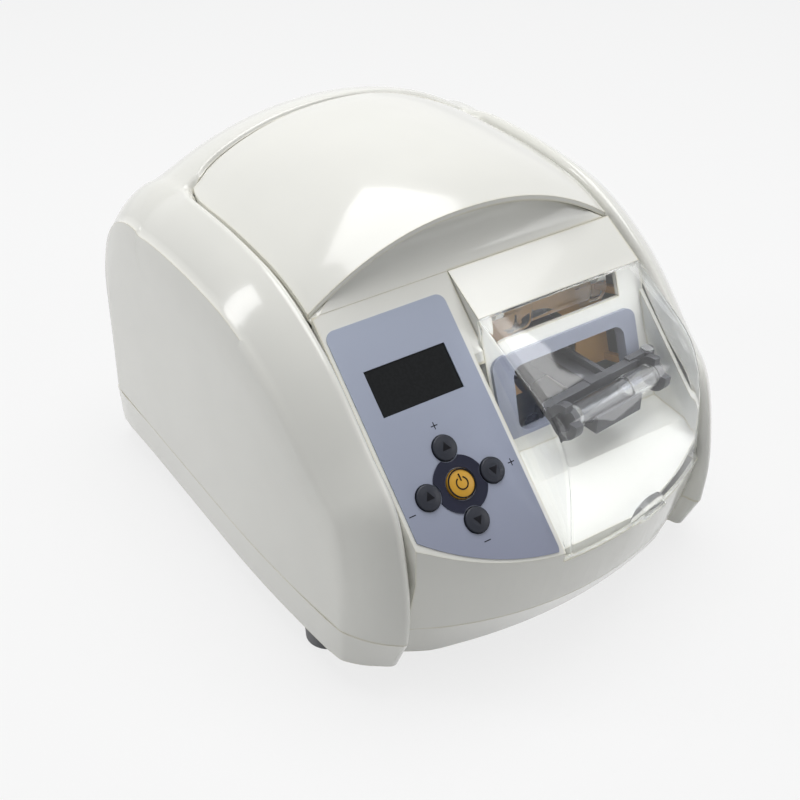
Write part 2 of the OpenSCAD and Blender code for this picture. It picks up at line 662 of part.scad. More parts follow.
module tray_shell() {
    n = len(seam_out);
    rings = [ring_at(base_out, tray_z), ring_at(seam_out, seam_z - 0.1), ring_at(seam_in, seam_z - 0.1),
             ring_at(base_in, tray_z + wall)];
    walls = [for (r = [0:2], i = [0:n - 1]) each [
        [r * n + i, (r + 1) * n + i, r * n + (i + 1) % n],
        [r * n + (i + 1) % n, (r + 1) * n + i, (r + 1) * n + (i + 1) % n]]];
    polyhedron([for (r = rings) each r],
               concat(walls, [[for (i = [0:n - 1]) i], [for (i = [n - 1:-1:0]) 3 * n + i]]));
}
screw_places = [[-66, -72], [66, -72], [-88, 72], [88, 72]];
foot_places = [for (x = [-86, 86], y = [-60, 102]) [x, y]];
floor_top = tray_z + wall;
cradle_y = [-12, 30];
mount_places = [for (x = [-26, 26], y = [-17, 35]) [motor_x + x, y]];
transit_x = [motor_x - 14, motor_x + 14];
transit_y = 9;
mount_z = floor_top + 1.6;
vent_x = [for (k = [0:8]) -72 + 8 * k];
module base_tray() {
    color("ivory") difference() {
        union() {
            tray_shell();
            for (p = screw_places) translate([p[0], p[1], floor_top - 0.5]) cylinder(r = 5, h = 12);
            for (p = mount_places) translate([p[0], p[1], floor_top - 0.5])
                cylinder(r = 8, h = mount_z - floor_top + 0.5);
            for (x = transit_x) translate([x, transit_y, floor_top - 0.5]) cylinder(r = 6, h = 5);
        }
        for (p = screw_places) translate([p[0], p[1], tray_z - 1]) cylinder(r = 1.8, h = 13);
        for (p = foot_places) translate([p[0], p[1], tray_z - 1]) cylinder(r = 2.1, h = 20);
        for (x = transit_x) translate([x, transit_y, tray_z - 1]) cylinder(r = 3.2, h = 10);
        for (x = vent_x) box([x, 55, tray_z - 1], [x + 3, 90, floor_top + 1]);
    }
}
module rubber_feet() {
    color("dimgray") for (p = foot_places) translate([p[0], p[1], 0]) rotate_extrude() polygon([
        [3, 2], [3, 0.8], [4, 0], [8.6, 0], [9.4, 1], [10, tray_z - 0.03], [2, tray_z - 0.03],
        [2, tray_z + 4], [0, tray_z + 4], [0, 2]]);
}
module case_screws() {
    color("silver") for (p = screw_places) translate([p[0], p[1], tray_z]) {
        translate([0, 0, -1.6]) cylinder(r = 3.2, h = 1.58);
        translate([0, 0, -0.5]) cylinder(r = 1.7, h = 12);
    }
}
module transit_screws() {
    color("goldenrod") for (x = transit_x) translate([x, transit_y, 0]) {
        translate([0, 0, tray_z - 4]) cylinder(r = 6, h = 3.97, $fn = 12);
        translate([0, 0, tray_z - 1]) cylinder(r = 2.9, h = cradle_z + 2.4 - tray_z);
    }
}

// Motor in its cradle on rubber isolators; its shaft points to the front
hub_y = -34;
motor_front = -18;
motor_back = motor_front + motor_len;
bell_t = 4;
cradle_z = 24;
cradle_t = 3;
module along_y(y0, y1) {
    translate([motor_x, y1, motor_z]) rotate([90, 0, 0]) linear_extrude(y1 - y0) children();
}
module motor_can() {
    color("silver") along_y(motor_front + 0.02, motor_back - 0.02) difference() {
        circle(r = motor_r);
        circle(r = motor_r - 2);
    }
}
module motor_bell(y) {
    along_y(y, y + bell_t) difference() {
        circle(r = motor_r - 0.02);
        circle(r = 3.2);
        for (a = [0:60:300]) rotate(a) translate([17, 0]) circle(r = 4.5);
    }
}
module motor_front_bell() {
    color("gray") {
        motor_bell(motor_front - bell_t);
        along_y(motor_front, motor_front + 3) difference()
            { circle(r = motor_r - 2.05); circle(r = motor_r - 5); }
    }
}
module motor_rear_bell() {
    color("gray") {
        motor_bell(motor_back);
        along_y(motor_back - 3, motor_back) difference()
            { circle(r = motor_r - 2.05); circle(r = motor_r - 5); }
    }
}
shaft_r = 2.5;
fan_y = motor_back + bell_t + 3;
module rotor_shaft() {
    color("darkgray") {
        along_y(hub_y - 3.4, fan_y + 7) circle(r = shaft_r);
        along_y(motor_front + 6, motor_back - 6) circle(r = motor_r - 3.5);
        along_y(motor_front + 3.5, motor_back - 3.5) difference()
            { circle(r = 9); circle(r = shaft_r - 0.2); }
    }
}
module cooling_fan() {
    color("black") {
        along_y(fan_y, fan_y + 6) difference() { circle(r = 8); circle(r = shaft_r + 0.01); }
        for (a = [0:45:315]) translate([motor_x, fan_y + 3, motor_z]) rotate([0, a, 0])
            translate([6, -2.6, -0.8]) rotate([24, 0, 0]) cube([18, 5, 1.4]);
    }
}
module motor_cradle() {
    color("lightgray") difference() {
        union() {
            for (y = cradle_y) along_y(y, y + cradle_t) difference() {
                union() {
                    circle(r = motor_r + 4);
                    translate([-30, cradle_z - motor_z]) square([60, motor_z - cradle_z - 8]);
                }
                circle(r = motor_r + running_gap);
                translate([-14, cradle_z - motor_z + 9]) square([28, 20]);
            }
            box([motor_x - 34, cradle_y[0] - 10, cradle_z],
                [motor_x + 34, cradle_y[1] + 13, cradle_z + cradle_t]);
        }
        for (x = transit_x) translate([x, transit_y, cradle_z - 1]) cylinder(r = 3.1, h = 8);
        for (p = mount_places) translate([p[0], p[1], cradle_z - 1]) cylinder(r = 2.2, h = 8);
    }
}
module isolators() {
    color("black") for (p = mount_places) translate([p[0], p[1], 0]) rotate_extrude() polygon([
        [0, mount_z + 0.02], [7.5, mount_z + 0.02], [7.5, mount_z + 1.6], [5.6, mount_z + 3.2],
            [5.6, cradle_z - 2.6],
        [7.5, cradle_z - 1.4], [7.5, cradle_z - 0.02], [2.1, cradle_z - 0.02],
            [2.1, cradle_z + cradle_t + 2.5],
        [0, cradle_z + cradle_t + 2.5]]);
}

// Skewed hub and its bearing: while the shaft turns, the ring and the arm nod round without turning
module on_arm() {
    translate([motor_x, hub_y, motor_z]) rotate([0, 0, skew]) children();
}
module across_arm(y0, y1) {
    on_arm() translate([0, y1, 0]) rotate([90, 0, 0]) linear_extrude(y1 - y0) children();
}
bore_r = 4;
inner_r = 6.2;
outer_r = 9.2;
race_r = 11;
race_w = 7;
module skew_hub() {
    color("gray") difference() {
        union() {
            across_arm(-race_w / 2 - 2.4, race_w / 2 + 0.1) circle(r = bore_r - 0.01);
            across_arm(-race_w / 2 - 2.4, -race_w / 2 - 0.03) circle(r = 5.4);
            across_arm(race_w / 2 + 0.03, race_w / 2 + 1.6) circle(r = 5.6);
            along_y(hub_y + race_w / 2 + 1, motor_front - bell_t - 1) circle(r = 7);
            intersection() {
                along_y(hub_y + race_w / 2 + 1.7, motor_front - bell_t - 1) circle(r = 10);
                box([motor_x + 3, -60, 0], [motor_x + 20, 0, 200]);
            }
        }
        along_y(hub_y - 20, motor_front) circle(r = shaft_r + 0.01);
    }
}
module bearing_inner() {
    color("silver") across_arm(-race_w / 2, race_w / 2) difference() {
        circle(r = inner_r);
        circle(r = bore_r + 0.01);
    }
}
module bearing_balls() {
    color("lightgray") for (a = [0:45:315]) on_arm() rotate([0, a, 0])
        translate([(inner_r + outer_r) / 2, 0, 0]) sphere(r = (outer_r - inner_r) / 2 - running_gap,
            $fn = 24);
}
module bearing_outer() {
    color("silver") across_arm(-race_w / 2, race_w / 2) difference() {
        circle(r = race_r);
        circle(r = outer_r);
    }
}
housing_r = 15;
beam_t = 4;
cross_y = 7 - arm_reach;
cross_half = capsule_len / 2 + 6;
capsule_from = -capsule_len / 2;
jaw_gap = 0.3;
fixed_jaw_x = capsule_from - jaw_gap;
jaw_x = capsule_len / 2 + jaw_gap;
pin_x = jaw_x + 6.7;
guide_pin_r = 2;
module jaw_claw(x, w) {
    translate([x, -arm_reach, 0]) rotate([90, 0, 90]) linear_extrude(w) difference() {
        circle(r = capsule_r + 2.2);
        circle(r = capsule_r - 1.5);
        translate([-20, 1.5]) square([19, 12]);
    }
}
module swing_arm() {
    color("dimgray") {
        across_arm(-race_w / 2, race_w / 2 + 1) difference() {
            circle(r = housing_r);
            circle(r = race_r + 0.01);
        }
        across_arm(-race_w / 2 - 9, -race_w / 2) difference() {
            circle(r = housing_r);
            circle(r = 10.4);
        }
        across_arm(-race_w / 2 - 12, -race_w / 2 - 9) circle(r = housing_r);
        on_arm() {
            difference() {
                translate([-6, cross_y, -4.5]) cube([12, -cross_y - 14, 9]);
                for (z = [-10, 1.2]) translate([-4, cross_y + 3, z]) cube([8, -cross_y - 20, 8.8]);
            }
            translate([-cross_half, cross_y, -beam_t]) cube([cross_half + pin_x - 8, beam_t, 2 * beam_t]);
            for (z = [-5, 3]) difference() {
                union() {
                    translate([pin_x - 12, cross_y + 1, z]) cube([12, 3, 2]);
                    translate([pin_x, cross_y + 2, z]) cylinder(r = 3, h = 2);
                }
                translate([pin_x, cross_y + 2, z - 1]) cylinder(r = 1.51, h = 4);
            }
            translate([-cross_half, beam_t - arm_reach, -beam_t])
                cube([beam_t, arm_reach + cross_y - 2, 2 * beam_t]);
            jaw_claw(-cross_half, beam_t);
            translate([fixed_jaw_x - 2.9, -arm_reach, 0]) rotate([0, 90, 0]) cylinder(r = 4.6, h = 2.9);
            difference() {
                union() {
                    translate([-16, -arm_reach - 6.9, -8]) cube([26, 13.8, 8]);
                    translate([-16, -arm_reach + 4, -8]) cube([26, arm_reach + cross_y - 3, 4]);
                }
                translate([-20, -arm_reach, 0]) rotate([0, 90, 0]) cylinder(r = capsule_r + 0.1, h = 40);
            }
            translate([0, 0, -24]) cylinder(r = guide_pin_r, h = 10);
        }
    }
}
module jaw_pin() {
    color("silver") on_arm() translate([pin_x, cross_y + 2, -5.8]) {
        cylinder(r = 1.5, h = 11.6);
        cylinder(r = 2.6, h = 0.75);
        translate([0, 0, 10.85]) cylinder(r = 2.6, h = 0.75);
    }
}
module spring_jaw() {
    color("dimgray") on_arm() {
        difference() {
            for (z = [-2.7, 1.2]) {
                translate([pin_x, cross_y + 2, z]) cylinder(r = 3, h = 1.5);
                translate([jaw_x, -arm_reach + 3, z]) cube([3.2, arm_reach + cross_y - 0.6, 1.5]);
                translate([jaw_x, cross_y + 0.6, z]) cube([pin_x - jaw_x, 3, 1.5]);
            }
            translate([pin_x, cross_y + 2, -6]) cylinder(r = 1.5 + running_gap, h = 12);
        }
        jaw_claw(jaw_x, 3.2);
        translate([jaw_x, -arm_reach, 0]) rotate([0, 90, 0]) cylinder(r = 4.6, h = 3.2);
    }
}

// Torsion spring round the jaw's pin, one unbroken tube
wire_r = 0.3;
coil_r = 2.15;
coil_turns = 1.5;
coil_pitch = 1.05;
coil_steps = 8 * coil_turns;
function coil_pt(k) = let (a = 45 * k) [coil_r * cos(a), coil_r * sin(a),
    coil_pitch * (k / 8 - coil_turns / 2)];
coil_path = concat([coil_pt(0) + [0, -2.4, 0]], [for (k = [0:coil_steps]) coil_pt(k)],
    [coil_pt(coil_steps) + [0, -2.4, 0]]);
module tube(path, r, sides) {
    n = len(path);
    dirs = [for (i = [0:n - 1]) unit(path[min(i + 1, n - 1)] - path[max(i - 1, 0)])];
    rings = [for (i = [0:n - 1]) let (u = unit(cross([0, 0, 1], dirs[i])), v = cross(dirs[i], u))
        [for (k = [0:sides - 1]) path[i] + r * (u * cos(360 * k / sides) + v * sin(360 * k / sides))]];
    polyhedron([for (q = rings) each q], concat(
        [[for (k = [0:sides - 1]) k]],
        [for (i = [0:n - 2], k = [0:sides - 1]) each [
            [i * sides + k, (i + 1) * sides + k, i * sides + (k + 1) % sides],
            [i * sides + (k + 1) % sides, (i + 1) * sides + k, (i + 1) * sides + (k + 1) % sides]]],
        [[for (k = [sides - 1:-1:0]) (n - 1) * sides + k]]));
}
echo(coil_gap = coil_pitch - 2 * wire_r);
module jaw_spring() {
    color("silver") on_arm() translate([pin_x, cross_y + 2, 0]) tube(coil_path, wire_r, 6);
}
cap_len = 16;
module capsule_body() {
    color("aliceblue", 0.5) on_arm() translate([capsule_from, -arm_reach, 0]) rotate([0, 90, 0])
        rotate_extrude()
        polygon([[0, 0], [capsule_r - 1.4, 0], [capsule_r - 0.6, 1.2],
            [capsule_r - 0.6, capsule_len - cap_len],
                 [capsule_r - 1.6, capsule_len - cap_len], [capsule_r - 1.6, 2], [0, 2]]);
}
module capsule_cap() {
    color("aliceblue", 0.5) on_arm() translate([capsule_from, -arm_reach, 0]) rotate([0, 90, 0])
        rotate_extrude()
        polygon([[0, capsule_len], [capsule_r - 1.5, capsule_len], [capsule_r - 0.3, capsule_len - 1],
                 [capsule_r, capsule_len - cap_len + 2], [capsule_r, capsule_len - cap_len + 0.05],
                 [capsule_r - 1.65, capsule_len - cap_len + 0.05], [capsule_r - 1.65, capsule_len - 2],
                 [0, capsule_len - 2]]);
}
module guide_fork() {
    color("gray") {
        box([motor_x - 12, motor_front - bell_t - 3, motor_z - 26],
            [motor_x + 12, motor_front - bell_t - 0.05, motor_z - 14]);
        for (x = [-guide_pin_r - 4.3, guide_pin_r + 1.3])
            box([motor_x + x, hub_y - 6, motor_z - 22.5],
                [motor_x + x + 3, motor_front - bell_t - 1, motor_z - 18.5]);
    }
}

// Mains side and electronics
inlet_x = -52;
inlet_z = 56;
switch_x = -16;
fuse_x = 14;
flange_t = 1.8;
module inlet_body(x0, w, h, depth) {
    box([x0 - w / 2, rear_y - depth, inlet_z - h / 2], [x0 + w / 2, rear_y + 0.5, inlet_z + h / 2]);
}
module power_inlet() {
    color("black") difference() {
        union() {
            inlet_body(inlet_x, 27, 20, 22);
            box([inlet_x - 25, rear_y + 0.02, inlet_z - 12], [inlet_x + 25, rear_y + flange_t, inlet_z + 12]);
        }
        box([inlet_x - 12, rear_y - 15, inlet_z - 8.2], [inlet_x + 12, rear_y + 5, inlet_z + 8.2]);
        for (x = [-20, 20]) translate([inlet_x + x, rear_y - 5, inlet_z]) rotate([-90, 0, 0])
            cylinder(r = 1.7, h = 12);
    }
    color("silver") for (x = [-7, 0, 7]) translate([inlet_x, 0, inlet_z])
        box([x - 1, rear_y - 18, x == 0 ? 0 : -3], [x + 1, rear_y - 3, x == 0 ? 4 : 1]);
}
switch_w = 13;
switch_h = 19;
rocker_tilt = 7;
rocker_y = rear_y - 6.4;
module switch_frame() {
    color("black") difference() {
        union() {
            inlet_body(switch_x, switch_w, switch_h, 18);
            box([switch_x - 9, rear_y + 0.02, inlet_z - 12.5], [switch_x + 9, rear_y + 1.8, inlet_z + 12.5]);
        }
        box([switch_x - 4.5, rear_y - 13, inlet_z - 8.5], [switch_x + 4.5, rear_y + 5, inlet_z + 8.5]);
        translate([switch_x - 5.7, rocker_y, inlet_z]) rotate([0, 90, 0]) cylinder(r = 1.3, h = 11.4);
    }
}
module switch_rocker() {
    color("firebrick") translate([switch_x, rocker_y, inlet_z]) rotate([rocker_tilt, 0, 0]) {
        rotate([0, 90, 0]) cylinder(r = 1.25, h = 10.8, center = true);
        rotate([90, 0, 90]) linear_extrude(8.4, center = true) difference() {
            intersection() {
                translate([-4, -7.4]) square([12, 14.8]);
                circle(r = 8.1);
            }
            translate([13.5, -6]) circle(r = 9);
        }
    }
}
module fuse_holder() {
    color("black") translate([fuse_x, rear_y, inlet_z]) rotate([-90, 0, 0]) difference() {
        union() {
            translate([0, 0, -28]) cylinder(r = 6.5, h = 28.5);
            translate([0, 0, 0.02]) cylinder(r = 8.5, h = 1);
        }
        translate([0, 0, -26]) cylinder(r = 4.6, h = 40);
    }
}
module fuse_cap() {
    color("black") translate([fuse_x, rear_y, inlet_z]) rotate([-90, 0, 0]) difference() {
        union() {
            translate([0, 0, 1.1]) cylinder(r = 7, h = flange_t - 1.1);
            translate([0, 0, -24]) cylinder(r = 4.5, h = 25.6);
        }
        translate([-5, -0.6, flange_t - 0.4]) cube([10, 1.2, 2]);
    }
}
power_at = [-84, -46];
power_size = [64, 58];
power_z = 20;
module power_board() {
    color("seagreen") translate([power_at[0], power_at[1], power_z]) {
        cube([power_size[0], power_size[1], board_t]);
        for (x = [8, 24]) translate([x, 16, board_t - 0.01]) cylinder(r = 6, h = 20);
        translate([38, 6, board_t - 0.01]) cube([20, 4, 22.4]);
        translate([4, 38, board_t - 0.01]) cube([22, 14, 12.4]);
    }
    color("silver") for (x = [3, power_size[0] - 3], y = [3, power_size[1] - 3])
        translate([power_at[0] + x, power_at[1] + y, floor_top + 0.02])
            cylinder(r = 2.5, h = power_z - floor_top);
}
core_at = [-84, 28, floor_top + 0.05];
core_size = [44, 36, 33.5];
coil_out = 8;
module transformer() {
    color("saddlebrown") translate(core_at) {
        cube(core_size);
        translate([6, -coil_out, 6.5]) cube([core_size[0] - 12, core_size[1] + 2 * coil_out, 21]);
        translate([-6, 12, 0]) cube([core_size[0] + 12, 12, 1.5]);
    }
}

base_tray();
main_shell();
dome_hood();
front_panel();
chamber_box();
window_gasket();
insulator_sheet();
lid();
hinge_rod();
keypad_foil();
key_disc();
start_button();
key_up();
key_right();
key_down();
key_left();
display_window();
display_module();
control_board();
board_posts();
power_board();
transformer();
motor_can();
motor_front_bell();
motor_rear_bell();
rotor_shaft();
skew_hub();
bearing_inner();
bearing_balls();
bearing_outer();
swing_arm();
spring_jaw();
jaw_pin();
jaw_spring();
capsule_body();
capsule_cap();
cooling_fan();
motor_cradle();
guide_fork();
isolators();
power_inlet();
switch_frame();
switch_rocker();
fuse_holder();
fuse_cap();
rubber_feet();
case_screws();
transit_screws();
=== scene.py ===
"""Dresses the dental capsule mixer: smooth mouldings, finishes, printed signs, stage and camera."""

from math import cos, exp, hypot, pi, radians, sin, sqrt, tan

import bmesh
import bpy
from bpy.props import FloatProperty, FloatVectorProperty, IntProperty, PointerProperty
from mathutils import Matrix, Vector


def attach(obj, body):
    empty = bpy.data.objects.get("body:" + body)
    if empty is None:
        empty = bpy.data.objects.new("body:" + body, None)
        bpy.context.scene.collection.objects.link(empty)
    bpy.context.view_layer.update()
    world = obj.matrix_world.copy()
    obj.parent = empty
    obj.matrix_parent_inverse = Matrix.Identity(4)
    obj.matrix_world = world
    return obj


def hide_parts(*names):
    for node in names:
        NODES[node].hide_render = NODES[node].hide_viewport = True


bl_info = {
    "name": "Dental Capsule Mixer",
    "version": (1, 0, 0),
    "blender": (4, 5, 0),
    "location": "3D View > Sidebar > Mixer",
    "description": "Dresses the packed frame of a dental capsule mixer",
    "category": "Object",
}

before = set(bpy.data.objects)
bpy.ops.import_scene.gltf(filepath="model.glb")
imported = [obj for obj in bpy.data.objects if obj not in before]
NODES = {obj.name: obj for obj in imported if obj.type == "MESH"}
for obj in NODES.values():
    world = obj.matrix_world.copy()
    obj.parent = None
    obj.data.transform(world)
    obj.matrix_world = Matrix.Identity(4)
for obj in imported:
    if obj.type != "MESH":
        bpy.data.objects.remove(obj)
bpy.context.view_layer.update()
MM = 0.001

# The casing's driving sizes in millimetres, as the part's source has them
HALF_W, TRAY_Z, SEAM_Z, REAR_Y = 101, 12, 31, 124
RIDGE_X, RIDGE_FRONT_Y, RIDGE_TOP_Z = 78, -108.5, 154.5
DOME_SEAM_Y, DOME_RISE, BAND_DEPTH, WALL, GAP = 72, 24, 21, 2.4, 0.3
CONSOLE_TILT, CONSOLE_Y, CONSOLE_Z, CONSOLE_LEN = radians(42.2), -36.1, 142.4, 122
FRONT_BOW, BOW_CHORD, FLARE = 19.5, 74, 5.5
FOOT_X = RIDGE_X - 4
EDGE_X = FOOT_X - GAP
LEDGE_X = EDGE_X - 3.2
GROOVE = 1.8
LIP_Y = CONSOLE_Y + 2.3
BOW_R = (BOW_CHORD**2 + FRONT_BOW**2) / (2 * FRONT_BOW)
NOSE_Y = CONSOLE_Y - CONSOLE_LEN * cos(CONSOLE_TILT)
BOW_Y = NOSE_Y + BOW_R
PANEL_X = FOOT_X - GAP - 0.4
PLATE_TILT, PLATE_LEN, BACK_TILT = radians(28), 24.2, radians(70)
PLATE_Y = CONSOLE_Y - PLATE_LEN * cos(PLATE_TILT)
PLATE_Z = CONSOLE_Z - PLATE_LEN * sin(PLATE_TILT)
KEY_X, KEY_S, KEY_PITCH = -45.2, 79.8, 15
FOIL_TOP, PROUD = 0.5, 0.03
KEY_PLACES = {"key_up": (0, 1), "key_right": (1, 0), "key_down": (0, -1), "key_left": (-1, 0)}

# Openings: boxes by two corners, holes of a radius by their places
REAR_BOXES = [((-65.7, 110, 45.8), (-38.3, 134, 66.2)), ((-22.7, 110, 46.3), (-9.3, 134, 65.7))]
FUSE_HOLE = ((14, REAR_Y, 56), (0, 1, 0), 6.7, 20)
VENTS = [((x, 55, 11), (x + 3, 90, 15.4)) for x in range(-72, -7, 8)]
TRAY_HOLES = {
    1.8: [(-66, -72), (66, -72), (-88, 72), (88, 72)],
    2.1: [(-86, -60), (-86, 102), (86, -60), (86, 102)],
    3.2: [(14.5, 9), (42.5, 9)],
}


# Numbers and curves
def mix(a, b, t):
    return a + (b - a) * t


def cubic(p0, p1, p2, p3, t):
    """A point on the smooth curve from p1 to p2."""
    return tuple(
        0.5 * (2 * b + (c - a) * t + (2 * a - 5 * b + 4 * c - d) * t * t + (3 * b - a - 3 * c + d) * t**3)
        for a, b, c, d in zip(p0, p1, p2, p3)
    )


def smoothed(points, steps):
    """Every point of a smooth curve through points, with steps places in each stretch."""
    last = len(points) - 1
    curve = [
        cubic(points[max(i - 1, 0)], points[i], points[i + 1], points[min(i + 2, last)], k / steps)
        for i in range(last)
        for k in range(steps)
    ]
    return curve + [tuple(points[last])]


def even_cubic(p0, p1, p2, p3, t):
    """A point on a curve from p1 to p2 that doesn't swing out where the points lie unevenly."""
    a, b, c, d = (Vector(p) for p in (p0, p1, p2, p3))
    gaps = [max((q - p).length, 1e-9) ** 0.5 for p, q in ((a, b), (b, c), (c, d))]
    step = (c - b) / gaps[1]
    start = (b - a) / gaps[0] - (c - a) / (gaps[0] + gaps[1]) + step if a != b else step
    end = step - (d - b) / (gaps[1] + gaps[2]) + (d - c) / gaps[2] if c != d else step
    start, end = start * gaps[1], end * gaps[1]
    return tuple(b + t * start + t * t * (3 * (c - b) - 2 * start - end) + t**3 * (2 * (b - c) + start + end))


def finer(grid, rows, cols):
    """The grid with more rows and columns, smooth both ways."""
    across = [smoothed(row, cols) for row in grid]
    along = []
    for column in zip(*across):
        last = len(column) - 1
        along.append([
            even_cubic(column[max(i - 1, 0)], column[i], column[i + 1], column[min(i + 2, last)], k / rows)
            for i in range(last) for k in range(rows)
        ] + [column[last]])
    return [list(row) for row in zip(*along)]


def unit(y, z):
    size = hypot(y, z)
    return y / size, z / size


# The casing's ridge and sections, worked out as the part's source does
RIDGE_SHAPE = [(0.003, 0), (0, 0.202), (0.047, 0.482), (0.147, 0.632), (0.302, 0.83),
               (0.49, 0.9636), (0.684, 1), (0.878, 0.998), (1, 0.98)]
FOOT_SHAPE = [7.2, 6, 5, 6.6, 6, 5.4, 5.4, 5.4, 5.4]
REAR_TURN = [2, 5, 15, 30, 45, 60, 75, 90]
REAR_KNEE_Z = 95
BAND_TURN = [0, 18, 36, 54, 72]
SIDE_STEPS = 3
REAR_ROUND = 10
CORNER_Y = RIDGE_FRONT_Y + BAND_DEPTH
SEAM_SLIDE, SEAM_REACH, SEAM_DEPTH = 3.4, 10, 30
front_line = smoothed(
    [(mix(RIDGE_FRONT_Y, DOME_SEAM_Y, y), mix(SEAM_Z, RIDGE_TOP_Z, z)) for y, z in RIDGE_SHAPE], 3)
front_foot = [p[0] for p in smoothed([(d,) for d in FOOT_SHAPE], 3)]
SEAM_I = len(front_line) - 1
seam_top = front_line[SEAM_I][1]
ridge_line = (
    front_line
    + [(mix(DOME_SEAM_Y, REAR_Y, sin(radians(a))), mix(REAR_KNEE_Z, seam_top, cos(radians(a))))
       for a in REAR_TURN]
    + [(REAR_Y, mix(REAR_KNEE_Z, SEAM_Z, t)) for t in (0.5, 1)]
)
LAST_I = len(ridge_line) - 1


def turn_at(i):
    if i <= SEAM_I:
        return 0
    return REAR_TURN[i - SEAM_I - 1] if i <= SEAM_I + len(REAR_TURN) else 90


def inward(i):
    if i == 0:
        return 1, 0
    if i == LAST_I:
        return -1, 0
    a, b = ridge_line[i - 1], ridge_line[i + 1]
    y, z = unit(b[0] - a[0], b[1] - a[1])
    return z, -y


def ridge_z(y):
    """Height of the ridge's top at y."""
    line = sorted(front_line)
    for (y0, z0), (y1, z1) in zip(line, line[1:]):
        if y0 <= y <= y1 and y1 > y0:
            return mix(z0, z1, (y - y0) / (y1 - y0))
    return line[-1][1]


def side_x(y, z):
    return HALF_W - 5.5 * max(0, y / CORNER_Y) ** 2 - 3 * (z - SEAM_Z) / 100


def dome_over(x):
    return DOME_RISE * (1 - min(1, abs(x) / EDGE_X) ** 2.2)


def foot_at(i):
    return front_foot[i] if i <= SEAM_I else 0.8 if i == SEAM_I + 1 else 0


def ridge_fade(i):
    return 1 if i <= SEAM_I else {1: 0.7, 2: 0.3}.get(i - SEAM_I, 0)


def offset(i, depth):
    """The point at that depth below the ridge line."""
    (y, z), (ny, nz) = ridge_line[i], inward(i)
    return y + ny * depth, z + nz * depth


def half_section(i, inside):
    """Places and depths from the side panel over the ridge to the dome's edge."""
    fade, k = ridge_fade(i), mix(0.35, 1, turn_at(i) / 90)
    band = mix(BAND_DEPTH, REAR_ROUND, turn_at(i) / 90)
    d, ex = foot_at(i), RIDGE_X + 2.2
    side = side_x(*offset(i, band))
    if inside:
        d, side, ed = max(d, 3), side - WALL, WALL + 1.4
        tail = [(RIDGE_X + 1.4, ed - 0.05), (RIDGE_X + 0.7, ed + 0.15 * (d - 3)),
                (RIDGE_X, ed + 0.2 + 0.45 * (d - 3)), (RIDGE_X - 1.3, max(d + 0.9, ed + 0.3))]
        band += 0.9
    else:
        ed = fade
        tail = [(RIDGE_X + 0.8, 0.15 * fade), (RIDGE_X - 0.8, 0.25 * fade),
                (RIDGE_X - 2.4, 0.35 * d * fade), (FOOT_X, d)]
    curve = []
    for a in BAND_TURN:
        c, s = cos(radians(a)), sin(radians(a))
        curve.append((ex + (side - ex) * mix(1 - a / 90, c, k), ed + (band - ed) * mix(1 - a / 90, 1 - s, k)))
    return curve + [(ex, ed)] + tail


def arch_point(i, x, low):
    bead = {0: 2.4, 1: 0.6}.get(i - SEAM_I, 0)
    rise = (DOME_RISE - GROOVE) * cos(radians(turn_at(i))) ** 2 * (1 - min(1, abs(x) / FOOT_X) ** 2.3)
    y, z = offset(i, low + bead - rise)
    return x, y, z


def round_corner(point):
    """Slides the points near the seam's corner, so that the corner is rounded."""
    x, y, z = point
    slide = SEAM_SLIDE * exp(-((hypot(abs(x) - FOOT_X, y - DOME_SEAM_Y) / SEAM_REACH) ** 2))
    moved = x - (1 if x > 0 else -1 if x < 0 else 0) * slide
    return point if z < seam_top - SEAM_DEPTH else (moved, y - slide, z + dome_over(moved) - dome_over(x))


def station(i, low):
    """One row of points, from the left base line over the top to the right base line."""
    band = mix(BAND_DEPTH, REAR_ROUND, turn_at(i) / 90) + (0.9 if low else 0)
    cy, cz = offset(i, band)
    by = mix(CORNER_Y + 9, REAR_Y - REAR_ROUND - 9, i / LAST_I)
    half = []
    for j in range(SIDE_STEPS):
        y, z = mix(by, cy, j / SIDE_STEPS), mix(SEAM_Z, cz, j / SIDE_STEPS)
        half.append((side_x(y, z) - low, y, z))
    half += [(x, *offset(i, d)) for x, d in half_section(i, low > 0)]
    if i < SEAM_I:
        half.append((LEDGE_X, *offset(i, GROOVE + WALL + 1.2 - dome_over(LEDGE_X) + low)))
    else:
        half.append(arch_point(i, LEDGE_X, low))
    arch = [arch_point(i, -LEDGE_X * sin(radians(a)), low) for a in range(72, -73, -12)]
    row = [(-x, y, z) for x, y, z in half] + arch + half[::-1]
    return [round_corner(p) for p in row]


# Meshes
def piece(name, verts, faces, body, material, slot, smooth=35.0):
    """A new object from millimetre points, smooth below that angle."""
    mesh = bpy.data.meshes.new(name)
    mesh.from_pydata([Vector(v) * MM for v in verts], [], faces)
    mesh.materials.append(material)
    form = bmesh.new()
    form.from_mesh(mesh)
    bmesh.ops.remove_doubles(form, verts=form.verts, dist=1e-6)
    bmesh.ops.recalc_face_normals(form, faces=form.faces)
    form.to_mesh(mesh)
    form.free()
    mesh.polygons.foreach_set("use_smooth", [True] * len(mesh.polygons))
    mesh.set_sharp_from_angle(angle=radians(smooth))
    obj = bpy.data.objects.new(name, mesh)
    bpy.context.scene.collection.objects.link(obj)
    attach(obj, body)
    return obj


def calmed(rows):
    """The rows with the crest and hollow beside the ridge eased away behind the dome."""
    first, last = SIDE_STEPS + 1, len(rows[0]) - SIDE_STEPS - 2
    eased = []
    for i, row in enumerate(rows):
        share = min(1, max(0, i - SEAM_I) / 3)
        for _ in range(4):
            row = [
                p if not first <= j <= last else tuple(
                    mix(b, (a + 2 * b + c) / 4, share) for a, b, c in zip(row[j - 1], p, row[j + 1]))
                for j, p in enumerate(row)
            ]
        eased.append(row)
    return eased


